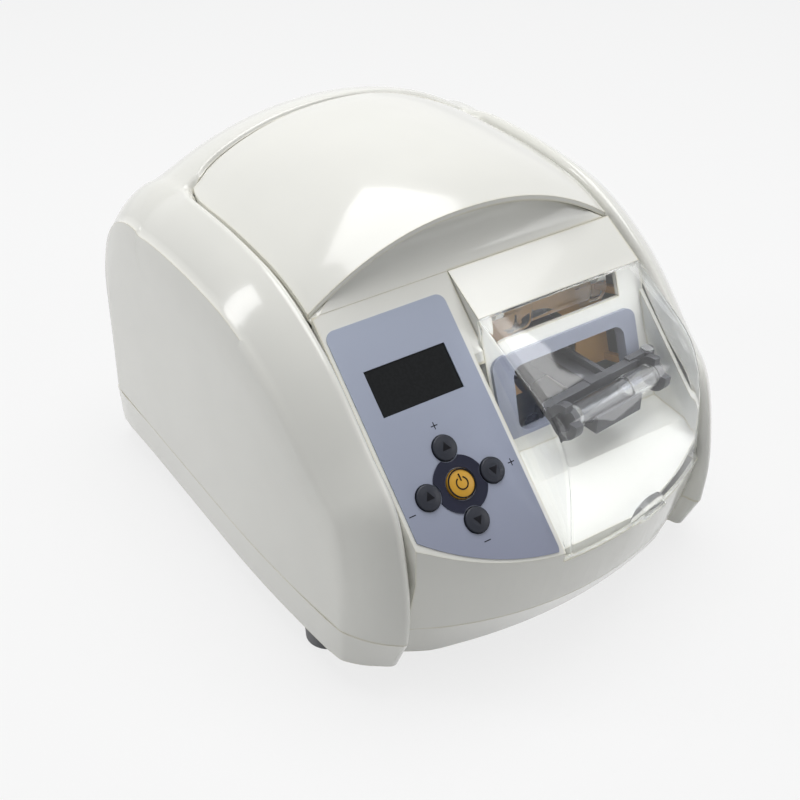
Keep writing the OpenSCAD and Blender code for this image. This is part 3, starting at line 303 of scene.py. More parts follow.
def apply_modifiers(obj):
    """Keeps the shape that the modifiers make."""
    shape = bpy.data.meshes.new_from_object(obj.evaluated_get(bpy.context.evaluated_depsgraph_get()))
    obj.modifiers.clear()
    obj.data = shape


def soften(obj, width, segments=3, angle=40.0, weighted=False):
    """Rounds the edges that are sharper than angle, or only the weighted ones."""
    bevel = obj.modifiers.new("rounding", "BEVEL")
    bevel.width = width * MM
    bevel.segments = segments
    bevel.limit_method = "WEIGHT" if weighted else "ANGLE"
    bevel.angle_limit = radians(angle)
    bevel.harden_normals = True
    bevel.miter_outer = "MITER_ARC"
    obj.data.polygons.foreach_set("use_smooth", [True] * len(obj.data.polygons))
    apply_modifiers(obj)


def wall_faces(rows, cols, has):
    """Faces of a wall between two grids; cells that are left out become openings."""
    count = rows * cols

    def on(i, j):
        return 0 <= i < rows - 1 and 0 <= j < cols - 1 and has(i, j)

    def at(i, j):
        return i * cols + j

    faces = []
    for i in range(rows - 1):
        for j in range(cols - 1):
            if not on(i, j):
                continue
            a, b, c, d = at(i, j), at(i, j + 1), at(i + 1, j + 1), at(i + 1, j)
            faces += [(a, b, c, d), (count + d, count + c, count + b, count + a)]
            rims = [(on(i - 1, j), b, a), (on(i + 1, j), d, c), (on(i, j - 1), a, d), (on(i, j + 1), c, b)]
            faces += [(p, q, count + q, count + p) for joined, p, q in rims if not joined]
    return faces


def wall_piece(name, outer, inner, has, *finish):
    rows, cols = len(outer), len(outer[0])
    points = [p for row in outer for p in row] + [p for row in inner for p in row]
    return piece(name, points, wall_faces(rows, cols, has), *finish)


def prism(name, outline, low, high, place, *finish):
    """A flat outline raised between two heights and put in place by a function."""
    count = len(outline)
    verts = [place(x, y, low) for x, y in outline] + [place(x, y, high) for x, y in outline]
    faces = [tuple(range(count))[::-1], tuple(range(count, 2 * count))]
    faces += [(i, (i + 1) % count, count + (i + 1) % count, count + i) for i in range(count)]
    return piece(name, verts, faces, *finish)


def cut(obj, boxes=(), drills=()):
    """Takes boxes and upright round holes out of a piece."""
    tool = bmesh.new()
    for low, high in boxes:
        size = [b - a for a, b in zip(low, high)]
        middle = [(a + b) / 2 for a, b in zip(low, high)]
        scale = Matrix.Diagonal([*(Vector(size) * MM), 1])
        bmesh.ops.create_cube(tool, size=1, matrix=Matrix.Translation(Vector(middle) * MM) @ scale)
    for centre, axis, radius, length in drills:
        turn = Vector((0, 0, 1)).rotation_difference(Vector(axis)).to_matrix().to_4x4()
        bmesh.ops.create_cone(
            tool, cap_ends=True, segments=48, radius1=radius * MM, radius2=radius * MM, depth=length * MM,
            matrix=Matrix.Translation(Vector(centre) * MM) @ turn)
    mesh = bpy.data.meshes.new("cutter")
    tool.to_mesh(mesh)
    tool.free()
    cutter = bpy.data.objects.new("cutter", mesh)
    bpy.context.scene.collection.objects.link(cutter)
    boolean = obj.modifiers.new("cut", "BOOLEAN")
    boolean.operation = "DIFFERENCE"
    boolean.solver = "EXACT"
    boolean.object = cutter
    bpy.context.view_layer.update()
    apply_modifiers(obj)
    bpy.data.objects.remove(cutter)


def on_console(x, v, w):
    """A point of the console's own plane: x across, v up its slope, w out of it."""
    c, s = cos(CONSOLE_TILT), sin(CONSOLE_TILT)
    return x, CONSOLE_Y + v * c - w * s, CONSOLE_Z + v * s + w * c


def circle(radius, count=32, start=0.0, end=360.0):
    steps = count if end - start >= 360 else count - 1
    return [
        (radius * cos(radians(mix(start, end, k / steps))), radius * sin(radians(mix(start, end, k / steps))))
        for k in range(count)
    ]


# Shader maths
class Value:
    """A socket whose sums and products add Math nodes."""

    def __init__(self, shader, socket):
        self.shader, self.socket = shader, socket

    def _math(self, operation, *values):
        return self.shader.add("ShaderNodeMath", {"operation": operation}, dict(enumerate(values)))

    def __add__(self, other):
        return self._math("ADD", self, other)

    def __sub__(self, other):
        return self._math("SUBTRACT", self, other)

    def __mul__(self, other):
        return self._math("MULTIPLY", self, other)

    def __rsub__(self, other):
        return self._math("SUBTRACT", other, self)

    def or_higher(self, other):
        return self._math("MAXIMUM", self, other)

    __radd__, __rmul__ = __add__, __mul__


class Shader:
    """The nodes of one material, or of the world."""

    def __init__(self, name, world=False):
        self.owner = (bpy.data.worlds if world else bpy.data.materials).new(name)
        self.owner.use_nodes = True
        self.tree = self.owner.node_tree
        self.tree.nodes.clear()
        self.end = self.tree.nodes.new("ShaderNodeOutputWorld" if world else "ShaderNodeOutputMaterial")

    def add(self, kind, settings=None, inputs=None, output=0):
        """A node of that type, with its settings and the values or links of its sockets."""
        node = self.tree.nodes.new(kind)
        for key, value in (settings or {}).items():
            if key == "stops":
                ramp = node.color_ramp
                for spot, colour in value[2:]:
                    ramp.elements.new(spot).color = (*colour, 1)
                for element, (spot, colour) in zip(ramp.elements, value[:2]):
                    element.position, element.color = spot, (*colour, 1)
            else:
                setattr(node, key, value)
        for key, value in (inputs or {}).items():
            socket = node.inputs[key]
            if isinstance(value, Value):
                self.tree.links.new(value.socket, socket)
            elif socket.type == "RGBA" and len(value) == 3:
                socket.default_value = (*value, 1)
            else:
                socket.default_value = value
        return Value(self, node.outputs[output])

    def place(self):
        return self.add("ShaderNodeTexCoord", output=3)

    def stretched(self, scale):
        return self.add("ShaderNodeVectorMath", {"operation": "MULTIPLY"}, {0: self.place(), 1: scale})

    def noise(self, size, detail=3.0, roughness=0.5, where=None):
        """Smooth noise whose patches are about size metres wide."""
        return self.add("ShaderNodeTexNoise", {}, {
            "Vector": where or self.place(), "Scale": 1 / size, "Detail": detail, "Roughness": roughness})

    def blend(self, factor, low, high):
        """A colour between low and high."""
        return self.add("ShaderNodeMix", {"data_type": "RGBA"}, {0: factor, 6: low, 7: high}, 2)

    def span(self, value, low, high, to_low=0.0, to_high=1.0):
        """The value carried from one range to another."""
        ends = {"From Min": low, "From Max": high, "To Min": to_low, "To Max": to_high}
        return self.add("ShaderNodeMapRange", {"clamp": True}, {"Value": value, **ends})

    def bump(self, height, strength, distance):
        return self.add("ShaderNodeBump", {}, {"Strength": strength, "Distance": distance, "Height": height})

    def edges(self, radius):
        """1 on the edges sharper than a moulding's own curves, 0 elsewhere."""
        soft = self.add("ShaderNodeBevel", {"samples": 4}, {"Radius": radius})
        true = self.add("ShaderNodeNewGeometry", output=1)
        near = self.add("ShaderNodeVectorMath", {"operation": "DOT_PRODUCT"}, {0: soft, 1: true}, 1)
        return self.span(near, 0.97, 0.8)

    def principled(self, **inputs):
        named = {key.replace("_", " "): value for key, value in inputs.items()}
        return self.add("ShaderNodeBsdfPrincipled", {}, named)

    def seen(self):
        """1 for rays from the camera, from a reflection and through clear plastic."""
        kinds = "Is Camera Ray", "Is Glossy Ray", "Is Transmission Ray"
        camera, glossy, through = (self.add("ShaderNodeLightPath", output=kind) for kind in kinds)
        return camera.or_higher(glossy).or_higher(through)

    def finish(self, surface):
        self.tree.links.new(surface.socket, self.end.inputs["Surface"])
        return self.owner


def dimmed(colour, share):
    return tuple(c * share for c in colour[:3])


def glossy_casing(colour, painted_edge_light):
    """Moulded plastic: clear gloss, faint flow marks, and painted warm light along the edges and creases that
    stands in for bounce and light through the plastic.
    """
    s = Shader("casing_gloss")
    flow = s.noise(0.045, 2)
    body = s.blend(s.span(flow, 0.35, 0.65), dimmed(colour, 0.975), tuple(colour))
    fine = s.noise(0.0016, 2)
    return s.finish(s.principled(
        # Painted warm light: edges and creases take the warmer tone in place of light bouncing between
        # mouldings and shining through the plastic.
        Base_Color=s.blend(s.edges(0.0016) * 0.75, body, tuple(painted_edge_light)),
        Roughness=s.span(flow, 0.3, 0.7, 0.13, 0.19),
        IOR=1.52, Coat_Weight=0.35, Coat_Roughness=0.05,
        Normal=s.bump(fine, 0.03, 0.0002)))


def keypad_print(colour, low_colour):
    """Printed foil: satin, a little darker towards its lower end."""
    s = Shader("keypad_foil_print")
    height = s.add("ShaderNodeSeparateXYZ", {}, {0: s.place()}, 2)
    down = s.span(height, 0.065, 0.135)
    grain = s.noise(0.0007, 2)
    return s.finish(s.principled(
        Base_Color=s.blend(s.span(down + grain * 0.05, 0.0, 1.05), tuple(low_colour), tuple(colour)),
        Roughness=s.span(grain, 0.3, 0.7, 0.3, 0.38), Coat_Weight=0.2, Coat_Roughness=0.2,
        Normal=s.bump(grain, 0.06, 0.0001)))


def moulded(name, colour, rough=0.35, grain=0.0009, bump=0.12, coat=0.0, edge=1.5, gloss=0.5):
    """Plain moulded plastic or rubber: fine texture, with a painted highlight that makes its edges lighter.
    """
    s = Shader(name)
    fine, wide = s.noise(grain, 2), s.noise(0.02, 3)
    body = s.blend(s.span(wide, 0.35, 0.65), dimmed(colour, 0.88), tuple(colour))
    return s.finish(s.principled(
        # Painted highlight: the edges are lightened by the edge factor, standing in for light catching the
        # rims.
        Base_Color=s.blend(s.edges(0.0007) * 0.6, body, tuple(min(1, c * edge + 0.01) for c in colour)),
        Roughness=s.span(fine, 0.3, 0.7, max(0.03, rough - 0.05), rough + 0.06),
        Specular_IOR_Level=gloss, Coat_Weight=coat, Coat_Roughness=0.08, Normal=s.bump(fine, bump, 0.0002)))


def metal(name, colour, rough=0.3, streak=(900.0, 25.0, 900.0), bump=0.05):
    """Turned or cast metal: fine streaks and faint stains."""
    s = Shader(name)
    lines = s.add("ShaderNodeTexNoise", {}, {"Vector": s.stretched(streak), "Scale": 1.0, "Detail": 3.0})
    stains = s.noise(0.012, 3)
    return s.finish(s.principled(
        Base_Color=s.blend(s.span(stains, 0.35, 0.7), dimmed(colour, 0.82), tuple(colour)),
        Metallic=1.0, Roughness=s.span(lines, 0.3, 0.7, rough - 0.08, rough + 0.1),
        Normal=s.bump(lines, bump, 0.0002)))


def clear_plastic(name, colour, rough=0.03, ior=1.08):
    """Clear moulding that lets the lamps through, with faint rubbing marks."""
    s = Shader(name)
    marks = s.noise(0.0022, 4, 0.6)
    glass = s.principled(
        Base_Color=tuple(colour), Transmission_Weight=1.0, IOR=ior, Coat_Weight=0.8, Coat_Roughness=0.03,
        Roughness=s.span(marks, 0.55, 0.75, rough, rough + 0.05))
    open_way = s.add("ShaderNodeBsdfTransparent", {}, {"Color": dimmed(colour, 0.8)})
    shadow = s.add("ShaderNodeLightPath", output=1)
    return s.finish(s.add("ShaderNodeMixShader", {}, {0: shadow, 1: glass, 2: open_way}))


def display_glass(colour):
    """Dark display window with a faint lit field behind it."""
    s = Shader("display_glass_dark")
    dots = s.noise(0.0012, 1)
    return s.finish(s.principled(
        Base_Color=s.blend(s.span(dots, 0.4, 0.6), tuple(colour), tuple(c * 1.2 for c in colour)),
        Roughness=s.span(s.noise(0.01, 2), 0.3, 0.7, 0.1, 0.16), Specular_IOR_Level=0.12))


def circuit_board(colour):
    """Lacquered board: tracks run under the lacquer."""
    s = Shader("board_lacquer")
    tracks = s.add("ShaderNodeTexBrick", {"offset": 0.5}, {
        "Vector": s.place(), "Color1": (0, 0, 0), "Color2": (0, 0, 0), "Mortar": (1, 1, 1),
        "Scale": 220.0, "Mortar Size": 0.04}, 1)
    return s.finish(s.principled(
        Base_Color=s.blend(tracks * 0.5, tuple(colour), (0.05, 0.32, 0.14)),
        Roughness=s.span(s.noise(0.004, 2), 0.3, 0.7, 0.3, 0.42), Normal=s.bump(tracks, 0.15, 0.0001)))


def printed(name, colour):
    """Printing ink, a little uneven."""
    s = Shader(name)
    ink = s.noise(0.0005, 2)
    return s.finish(s.principled(
        Base_Color=s.blend(ink, dimmed(colour, 0.8), tuple(colour)), Specular_IOR_Level=0.1,
        Roughness=s.span(ink, 0.3, 0.7, 0.4, 0.55)))


# Settings that a user would change
def tint(label, text, colour):
    return FloatVectorProperty(name=label, description=text, default=colour, subtype="COLOR", min=0, max=1)


def length(label, text, size):
    return FloatProperty(name=label, description=text, default=size, unit="LENGTH", min=0, precision=4)


class CasingSettings(bpy.types.PropertyGroup):
    """Colours and edges of the mouldings."""

    colour: tint("Colour", "Cream-white of the mouldings", (0.80, 0.795, 0.745))
    # The edge tone is painted warm light along edges and creases, standing in for bounce and light through
    # the plastic.
    painted_edge_light: tint("Edge colour", "Warmer tone along the edges", (0.62, 0.565, 0.385))
    rim: length("Rim rounding", "Rounding of the moulding's open rims", 0.00045)
    nose: length("Nose rounding", "Rounding between console and front wall", 0.0034)
    detail: IntProperty(
        name="Detail", description="Finer rows in each row of the frame's grid", default=4, min=1, max=6)


class KeypadSettings(bpy.types.PropertyGroup):
    """Colours of the keypad."""

    foil: tint("Foil", "Blue-grey of the printed foil", (0.375, 0.415, 0.52))
    foil_low: tint("Foil, lower end", "Darker tone at its lower end", (0.235, 0.255, 0.345))
    keys: tint("Keys", "Dark navy of the keys", (0.016, 0.019, 0.030))
    disc: tint("Disc", "Dark violet of the disc between the keys", (0.017, 0.019, 0.038))
    start: tint("Start button", "Amber of the start button", (0.62, 0.33, 0.025))
    ink: tint("Ink", "Printed signs", (0.006, 0.006, 0.009))
    sign: length("Sign size", "Half size of the printed signs", 0.0022)


class ChamberSettings(bpy.types.PropertyGroup):
    """Colours of the chamber and its lid."""

    lid: tint("Lid", "Tint of the clear lid", (0.965, 0.975, 0.985))
    gasket: tint("Gasket", "Blue-grey of the soft frame", (0.27, 0.29, 0.36))
    sheet: tint("Insulating sheet", "Amber-brown of the sheet", (0.66, 0.38, 0.13))
    arm: tint("Arm", "Dark grey of the swinging arm", (0.045, 0.046, 0.052))
    tab: length("Finger tab", "Half width of the lid's finger tab", 0.011)


class StageSettings(bpy.types.PropertyGroup):
    """Camera and lamps."""

    camera: FloatVectorProperty(
        name="Camera", description="Place of the camera", default=(-0.2777, -0.4042, 0.4119),
        subtype="XYZ", unit="LENGTH")
    heading: FloatProperty(
        name="Heading", description="Turn from straight ahead to the right", default=radians(33.57),
        subtype="ANGLE")
    dip: FloatProperty(name="Dip", description="Look down", default=radians(36.27), subtype="ANGLE")
    lens: FloatProperty(name="Lens", description="Focal length on a 36 mm sensor", default=59.22, min=10)
    floor: FloatProperty(name="Floor", description="Paleness of the floor", default=0.72, min=0, max=0.95)
    ambient: FloatProperty(name="Ambient", description="Even light from all sides", default=0.24, min=0)
    top_lamp: FloatProperty(
        name="Top lamp", description="Power of the soft lamp above", default=9.6, min=0, unit="POWER")
    side_lamp: FloatProperty(
        name="Side lamp", description="Power of the side lamp", default=3.7, min=0, unit="POWER")


def casing_material():
    made = bpy.data.materials.get("casing_gloss")
    casing = bpy.context.scene.mixer_casing
    return made or glossy_casing(casing.colour, casing.painted_edge_light)


def dress(material, *names):
    """Gives CAD nodes their finish."""
    for name in names:
        mesh = NODES[name].data
        mesh.materials.clear()
        mesh.materials.append(material)


class MIXER_OT_shell(bpy.types.Operator):
    """Smooth main shell between the tray and the dome"""

    bl_idname = "mixer.shell"
    bl_label = "Main Shell"

    def execute(self, context):
        casing = context.scene.mixer_casing
        n = casing.detail
        outer = finer(calmed([station(i, 0) for i in range(LAST_I + 1)]), n, 2)
        inner = finer([station(i, WALL) for i in range(LAST_I + 1)], n, 2)
        cols = len(station(0, 0))
        half = SIDE_STEPS + len(BAND_TURN) + 6
        lip = max(i for i in range(SEAM_I + 1) if front_line[i][0] < LIP_Y + 1) + 1

        def has(i, j):
            i, j = i // n, j // 2
            k = min(j, cols - 2 - j)
            return k < half - 2 or i >= SEAM_I or (k == half - 2 and lip <= i < SEAM_I - 1)

        shell = wall_piece("shell_moulding", outer, inner, has, "root", casing_material(), "casing", 60.0)
        cut(shell, REAR_BOXES, [FUSE_HOLE])
        soften(shell, casing.rim / MM, 3, 50)
        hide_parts("main_shell")
        return {"FINISHED"}


class MIXER_OT_dome(bpy.types.Operator):
    """Smooth dome between the ridges"""

    bl_idname = "mixer.dome"
    bl_label = "Dome"

    def execute(self, context):
        casing = context.scene.mixer_casing

        def dome_point(u, t, low):
            x = (EDGE_X + 0.2) * sin(u * pi / 2)
            y = mix(LIP_Y, DOME_SEAM_Y - GAP, t)
            drop = GROOVE + 0.6 * t - dome_over(x) + (0.3 if t == 1 else 0)
            return round_corner((x, y, ridge_z(y) - drop - low))

        rows, cols = 9, 16
        places = [[(2 * j / cols - 1, i / rows) for j in range(cols + 1)] for i in range(rows + 1)]
        grids = [
            finer([[dome_point(u, t, low) for u, t in row] for row in places], 6, 5)
            for low in (0, WALL)
        ]
        dome = wall_piece("dome_moulding", *grids, lambda i, j: True, "root", casing_material(), "casing")
        soften(dome, casing.rim / MM, 3, 50)
        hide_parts("dome_hood")
        return {"FINISHED"}


class MIXER_OT_front(bpy.types.Operator):
    """Front moulding with its nose and rims rounded"""

    bl_idname = "mixer.front"
    bl_label = "Front Moulding"

    def execute(self, context):
        casing = context.scene.mixer_casing
        mesh = NODES["front_panel"].data.copy()
        form = bmesh.new()
        form.from_mesh(mesh)
        bmesh.ops.remove_doubles(form, verts=form.verts, dist=2e-6)
        bmesh.ops.dissolve_limit(form, angle_limit=radians(0.3), verts=form.verts, edges=form.edges)
        weight = form.edges.layers.float.new("bevel_weight_edge")

        def on_nose(vert):
            x, y, z = vert.co / MM
            height = (z - CONSOLE_Z) * cos(CONSOLE_TILT) - (y - CONSOLE_Y) * sin(CONSOLE_TILT)
            return abs(height) < 0.06 and abs(hypot(x, y - BOW_Y) - BOW_R) < 4 and y < -95

        for vert in form.verts:
            if abs(vert.co.x) > 0.070:
                vert.co.x += 0.0004 if vert.co.x > 0 else -0.0004
        for edge in form.edges:
            if len(edge.link_faces) != 2:
                continue
            angle = edge.calc_face_angle(0)
            if angle < radians(25):
                continue
            nose = all(on_nose(v) for v in edge.verts) and abs(edge.verts[0].co.x - edge.verts[1].co.x) > 1e-5
            beside = all(abs(v.co.x) > 0.070 for v in edge.verts)
            edge[weight] = 1.0 if nose else 0.09 if beside else 0.2
        form.to_mesh(mesh)
        form.free()
        mesh.materials.clear()
        mesh.materials.append(casing_material())
        panel = bpy.data.objects.new("front_moulding", mesh)
        context.scene.collection.objects.link(panel)
        soften(panel, casing.nose / MM, 5, weighted=True)
        panel.data.set_sharp_from_angle(angle=radians(40))
        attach(panel, "root")
        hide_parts("front_panel")
        return {"FINISHED"}


class MIXER_OT_tray(bpy.types.Operator):
    """Base tray with its vents and holes"""

    bl_idname = "mixer.tray"
    bl_label = "Base Tray"

    def execute(self, context):
        sides = [mix(CORNER_Y, REAR_Y - REAR_ROUND, k / 6) for k in range(1, 6)]

        def plan(inside):
            t = WALL if inside else 0
            front = [(x, front_line[0][0] + d) for x, d in half_section(0, inside)]
            rear = [(x, REAR_Y - d) for x, d in half_section(LAST_I, inside)]
            half = front[::-1] + [(side_x(y, SEAM_Z) - t, y) for y in sides] + rear
            cols = [k / 6 * FOOT_X for k in range(-5, 6)]
            bow = [(x, BOW_Y - sqrt((BOW_R - FLARE - t) ** 2 - x * x)) for x in cols]
            return bow + half + [(-x, y) for x, y in half[::-1]]

        def drawn_in(x, y, t):
            if abs(x) < 0.9 * FOOT_X:
                return x, -110 + t + 13.5 * (x / BOW_CHORD) ** 2
            v = min(1, max(0, (CORNER_Y + 25 - y) / 25))
            u = min(1, max(0, (CORNER_Y - y) / BAND_DEPTH))
            side = 0.8 if abs(x) > FOOT_X + 9 else 0
            return x - (side if x > 0 else -side), y + 2.5 * v + 6 * u

        top, top_in = plan(False), plan(True)
        base = [drawn_in(x, y, 0) for x, y in top]
        base_in = [drawn_in(x, y, WALL) for x, y in top_in]
        levels = [(base, TRAY_Z), (top, SEAM_Z - 0.1), (top_in, SEAM_Z - 0.1), (base_in, TRAY_Z + WALL)]
        steps = 3
        rings = []
        for ring, z in levels:
            closed = [(x, y, z) for x, y in ring]
            padded = closed[-1:] + closed + closed[:2]
            rings.append([
                even_cubic(*padded[i:i + 4], k / steps) for i in range(len(closed)) for k in range(steps)])
        n = len(rings[0])
        faces = [
            (r * n + i, r * n + (i + 1) % n, (r + 1) * n + (i + 1) % n, (r + 1) * n + i)
            for r in range(3) for i in range(n)
        ]
        faces += [tuple(range(n))[::-1], tuple(range(3 * n, 4 * n))]
        points = [p for ring in rings for p in ring]
        tray = piece("tray_moulding", points, faces, "root", casing_material(), "casing")
        cut(tray, VENTS, [
            ((*spot, TRAY_Z + 2), (0, 0, 1), radius, 8)
            for radius, spots in TRAY_HOLES.items() for spot in spots
        ])
        soften(tray, 0.7, 2, 50)
        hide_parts("base_tray")
        return {"FINISHED"}


def crown_height(node, x, v):
    """How far a key's top stands out of the console's plane near its middle."""
    best = -99.0
    for vert in node.data.vertices:
        px, y, z = vert.co / MM
        if hypot(px - x, (y - CONSOLE_Y) * cos(CONSOLE_TILT) + (z - CONSOLE_Z) * sin(CONSOLE_TILT) - v) < 4.5:
            best = max(best, (z - CONSOLE_Z) * cos(CONSOLE_TILT) - (y - CONSOLE_Y) * sin(CONSOLE_TILT))
    return best


class MIXER_OT_keypad(bpy.types.Operator):
    """Foil, keys, start button and the printed signs"""

    bl_idname = "mixer.keypad"
    bl_label = "Keypad"

    def execute(self, context):
        pad = context.scene.mixer_keypad
        dress(keypad_print(pad.foil, pad.foil_low), "keypad_foil")
        fine = {"rough": 0.34, "grain": 0.0006, "bump": 0.015}
        # edge=3.0 paints a bright highlight rim round the keys.
        dress(moulded("key_cap_navy", pad.keys, edge=3.0, gloss=0.3, **fine), *KEY_PLACES)
        dress(moulded("key_disc_violet", pad.disc, 0.4, 0.0006, 0.01, edge=1.3, gloss=0.15), "key_disc")
        dress(moulded("start_cap_amber", pad.start, edge=1.2, gloss=0.4, **fine), "start_button")
        dress(display_glass((0.010, 0.011, 0.012)), "display_window")
        dress(moulded("display_body_black", (0.02, 0.02, 0.022)), "display_module")
        ink = printed("sign_ink", pad.ink)
        size = pad.sign / MM

        def spot(dx, dv):
            return lambda x, y, w: on_console(KEY_X + dx + x, dv - KEY_S + y, w)

        top = {name: NODES[name] for name in (*KEY_PLACES, "start_button")}
        for name, (kx, ky) in KEY_PLACES.items():
            corners = (90, 210, 330) if ky > 0 or kx < 0 else (270, 30, 150)
            arrow = [(size * cos(radians(a)), size * sin(radians(a))) for a in corners]
            dx, dv = kx * KEY_PITCH, ky * KEY_PITCH
            high = crown_height(top[name], KEY_X + dx, dv - KEY_S)
            prism(name + "_arrow", arrow, high - 0.3, high + PROUD, spot(dx, dv), name, ink, "key_dark")
        high = crown_height(top["start_button"], KEY_X, -KEY_S)
        for part, outline in {
            "power_ring": circle(2.7, 40, 118, 422) + circle(2.15, 40, 118, 422)[::-1],
            "power_bar": [(-0.28, 0.9), (0.28, 0.9), (0.28, 3.9), (-0.28, 3.9)],
            "start_rim": circle(5.9, 72, 0, 359.5) + circle(5.35, 72, 0, 359.5)[::-1],
        }.items():
            above = PROUD if part != "start_rim" else -0.18
            prism(part, outline, high - 0.6, high + above, spot(0, 0), "start_button", ink, "key_dark")
        bar = [(-1.5, -0.2), (1.5, -0.2), (1.5, 0.2), (-1.5, 0.2)]
        upright = [(-0.2, 0.2), (0.2, 0.2), (0.2, 1.5), (-0.2, 1.5)]
        below = [(x, -y) for x, y in upright]
        signs = {"up_plus": (0, 24.4, True), "right_plus": (24.2, 0, True),
                 "left_minus": (-24, -4, False), "down_minus": (0.6, -23.8, False)}
        low, high = FOIL_TOP - 0.05, FOIL_TOP + PROUD
        for name, (dx, dv, plus) in signs.items():
            for k, outline in enumerate([bar, upright, below] if plus else [bar]):
                prism(f"{name}_{k}", outline, low, high, spot(dx, dv), "root", ink, "foil")
        return {"FINISHED"}


# The lid's curved section, as the part's source draws it
CHAMBER_LEFT = -12
LID_LEFT, LID_RIGHT, LID_T = CHAMBER_LEFT - 1.6, PANEL_X - 1.6 - GAP, 1.8
LID_REAR = (PLATE_Y - 3, PLATE_Z + 2)
LID_BASE_Z = 57.5
LID_SHAPE = [(0, 0), (0.345, 0.116), (0.676, 0.238), (0.85, 0.39), (0.94, 0.603), (1, 1)]
HINGE_Y = PLATE_Y + 7.4
HINGE_Z = CONSOLE_Z - (CONSOLE_Y - HINGE_Y) * tan(PLATE_TILT) - 7.6 / cos(PLATE_TILT)
LID_CORNER, LID_FOCUS_Z = 1.6, 84
LUG_X, LUG_W, EYE_R, PIN_SHARE, LUG_TURN = (5.7, 44.5), 8, 4, 0.52, 246
NECK_OUT, NECK_IN, NECK_START, NECK_END, BAR_END = 11.5, 9.5, 149, 247, 201
TAB_X, TAB_LOW, TAB_HIGH, TAB_T, TAB_TAPER = 30.0, 1.2, 7.5, 4.0, 0.05


def bow_y(x):
    """Y of the front wall's bow at x."""
    return BOW_Y - sqrt(BOW_R**2 - x * x)


def lid_profile(x, steps):
    reach = LID_REAR[0] - bow_y(x) - 0.6
    low = LID_REAR[1] - LID_BASE_Z
    return smoothed([(LID_REAR[0] - reach * y, LID_REAR[1] - low * z) for y, z in LID_SHAPE], steps)


def lid_end_row(y, z, x):
    """Points of the flat end, from the skin's edge in to the end's own border."""
    def inside(py, pz):
        above = pz > CONSOLE_Z - (CONSOLE_Y - py) * tan(CONSOLE_TILT) - 9.6
        w = -(py - PLATE_Y) * sin(BACK_TILT) + (pz - PLATE_Z) * cos(BACK_TILT)
        return above and w > 0.8 and pz > LID_BASE_Z - 0.1

    focus = LID_REAR[0] - 8, LID_FOCUS_Z
    low, high = 0.0, 1.0
    if not inside(mix(y, focus[0], 1e-4), mix(z, focus[1], 1e-4)):
        high = 0.0
    for _ in range(24):
        middle = (low + high) / 2
        if inside(mix(y, focus[0], middle), mix(z, focus[1], middle)):
            low = middle
        else:
            high = middle
    return [(x, mix(y, focus[0], low * s), mix(z, focus[1], low * s)) for s in (1, 0.66, 0.33)]


def curl(start, end):
    """Outline of the gooseneck's curved strip between two angles round the hinge."""
    turns = range(start, end + 1, 7)
    sides = (NECK_OUT, turns), (NECK_IN, turns[::-1])
    return [(r * cos(radians(a)), r * sin(radians(a))) for r, angles in sides for a in angles]


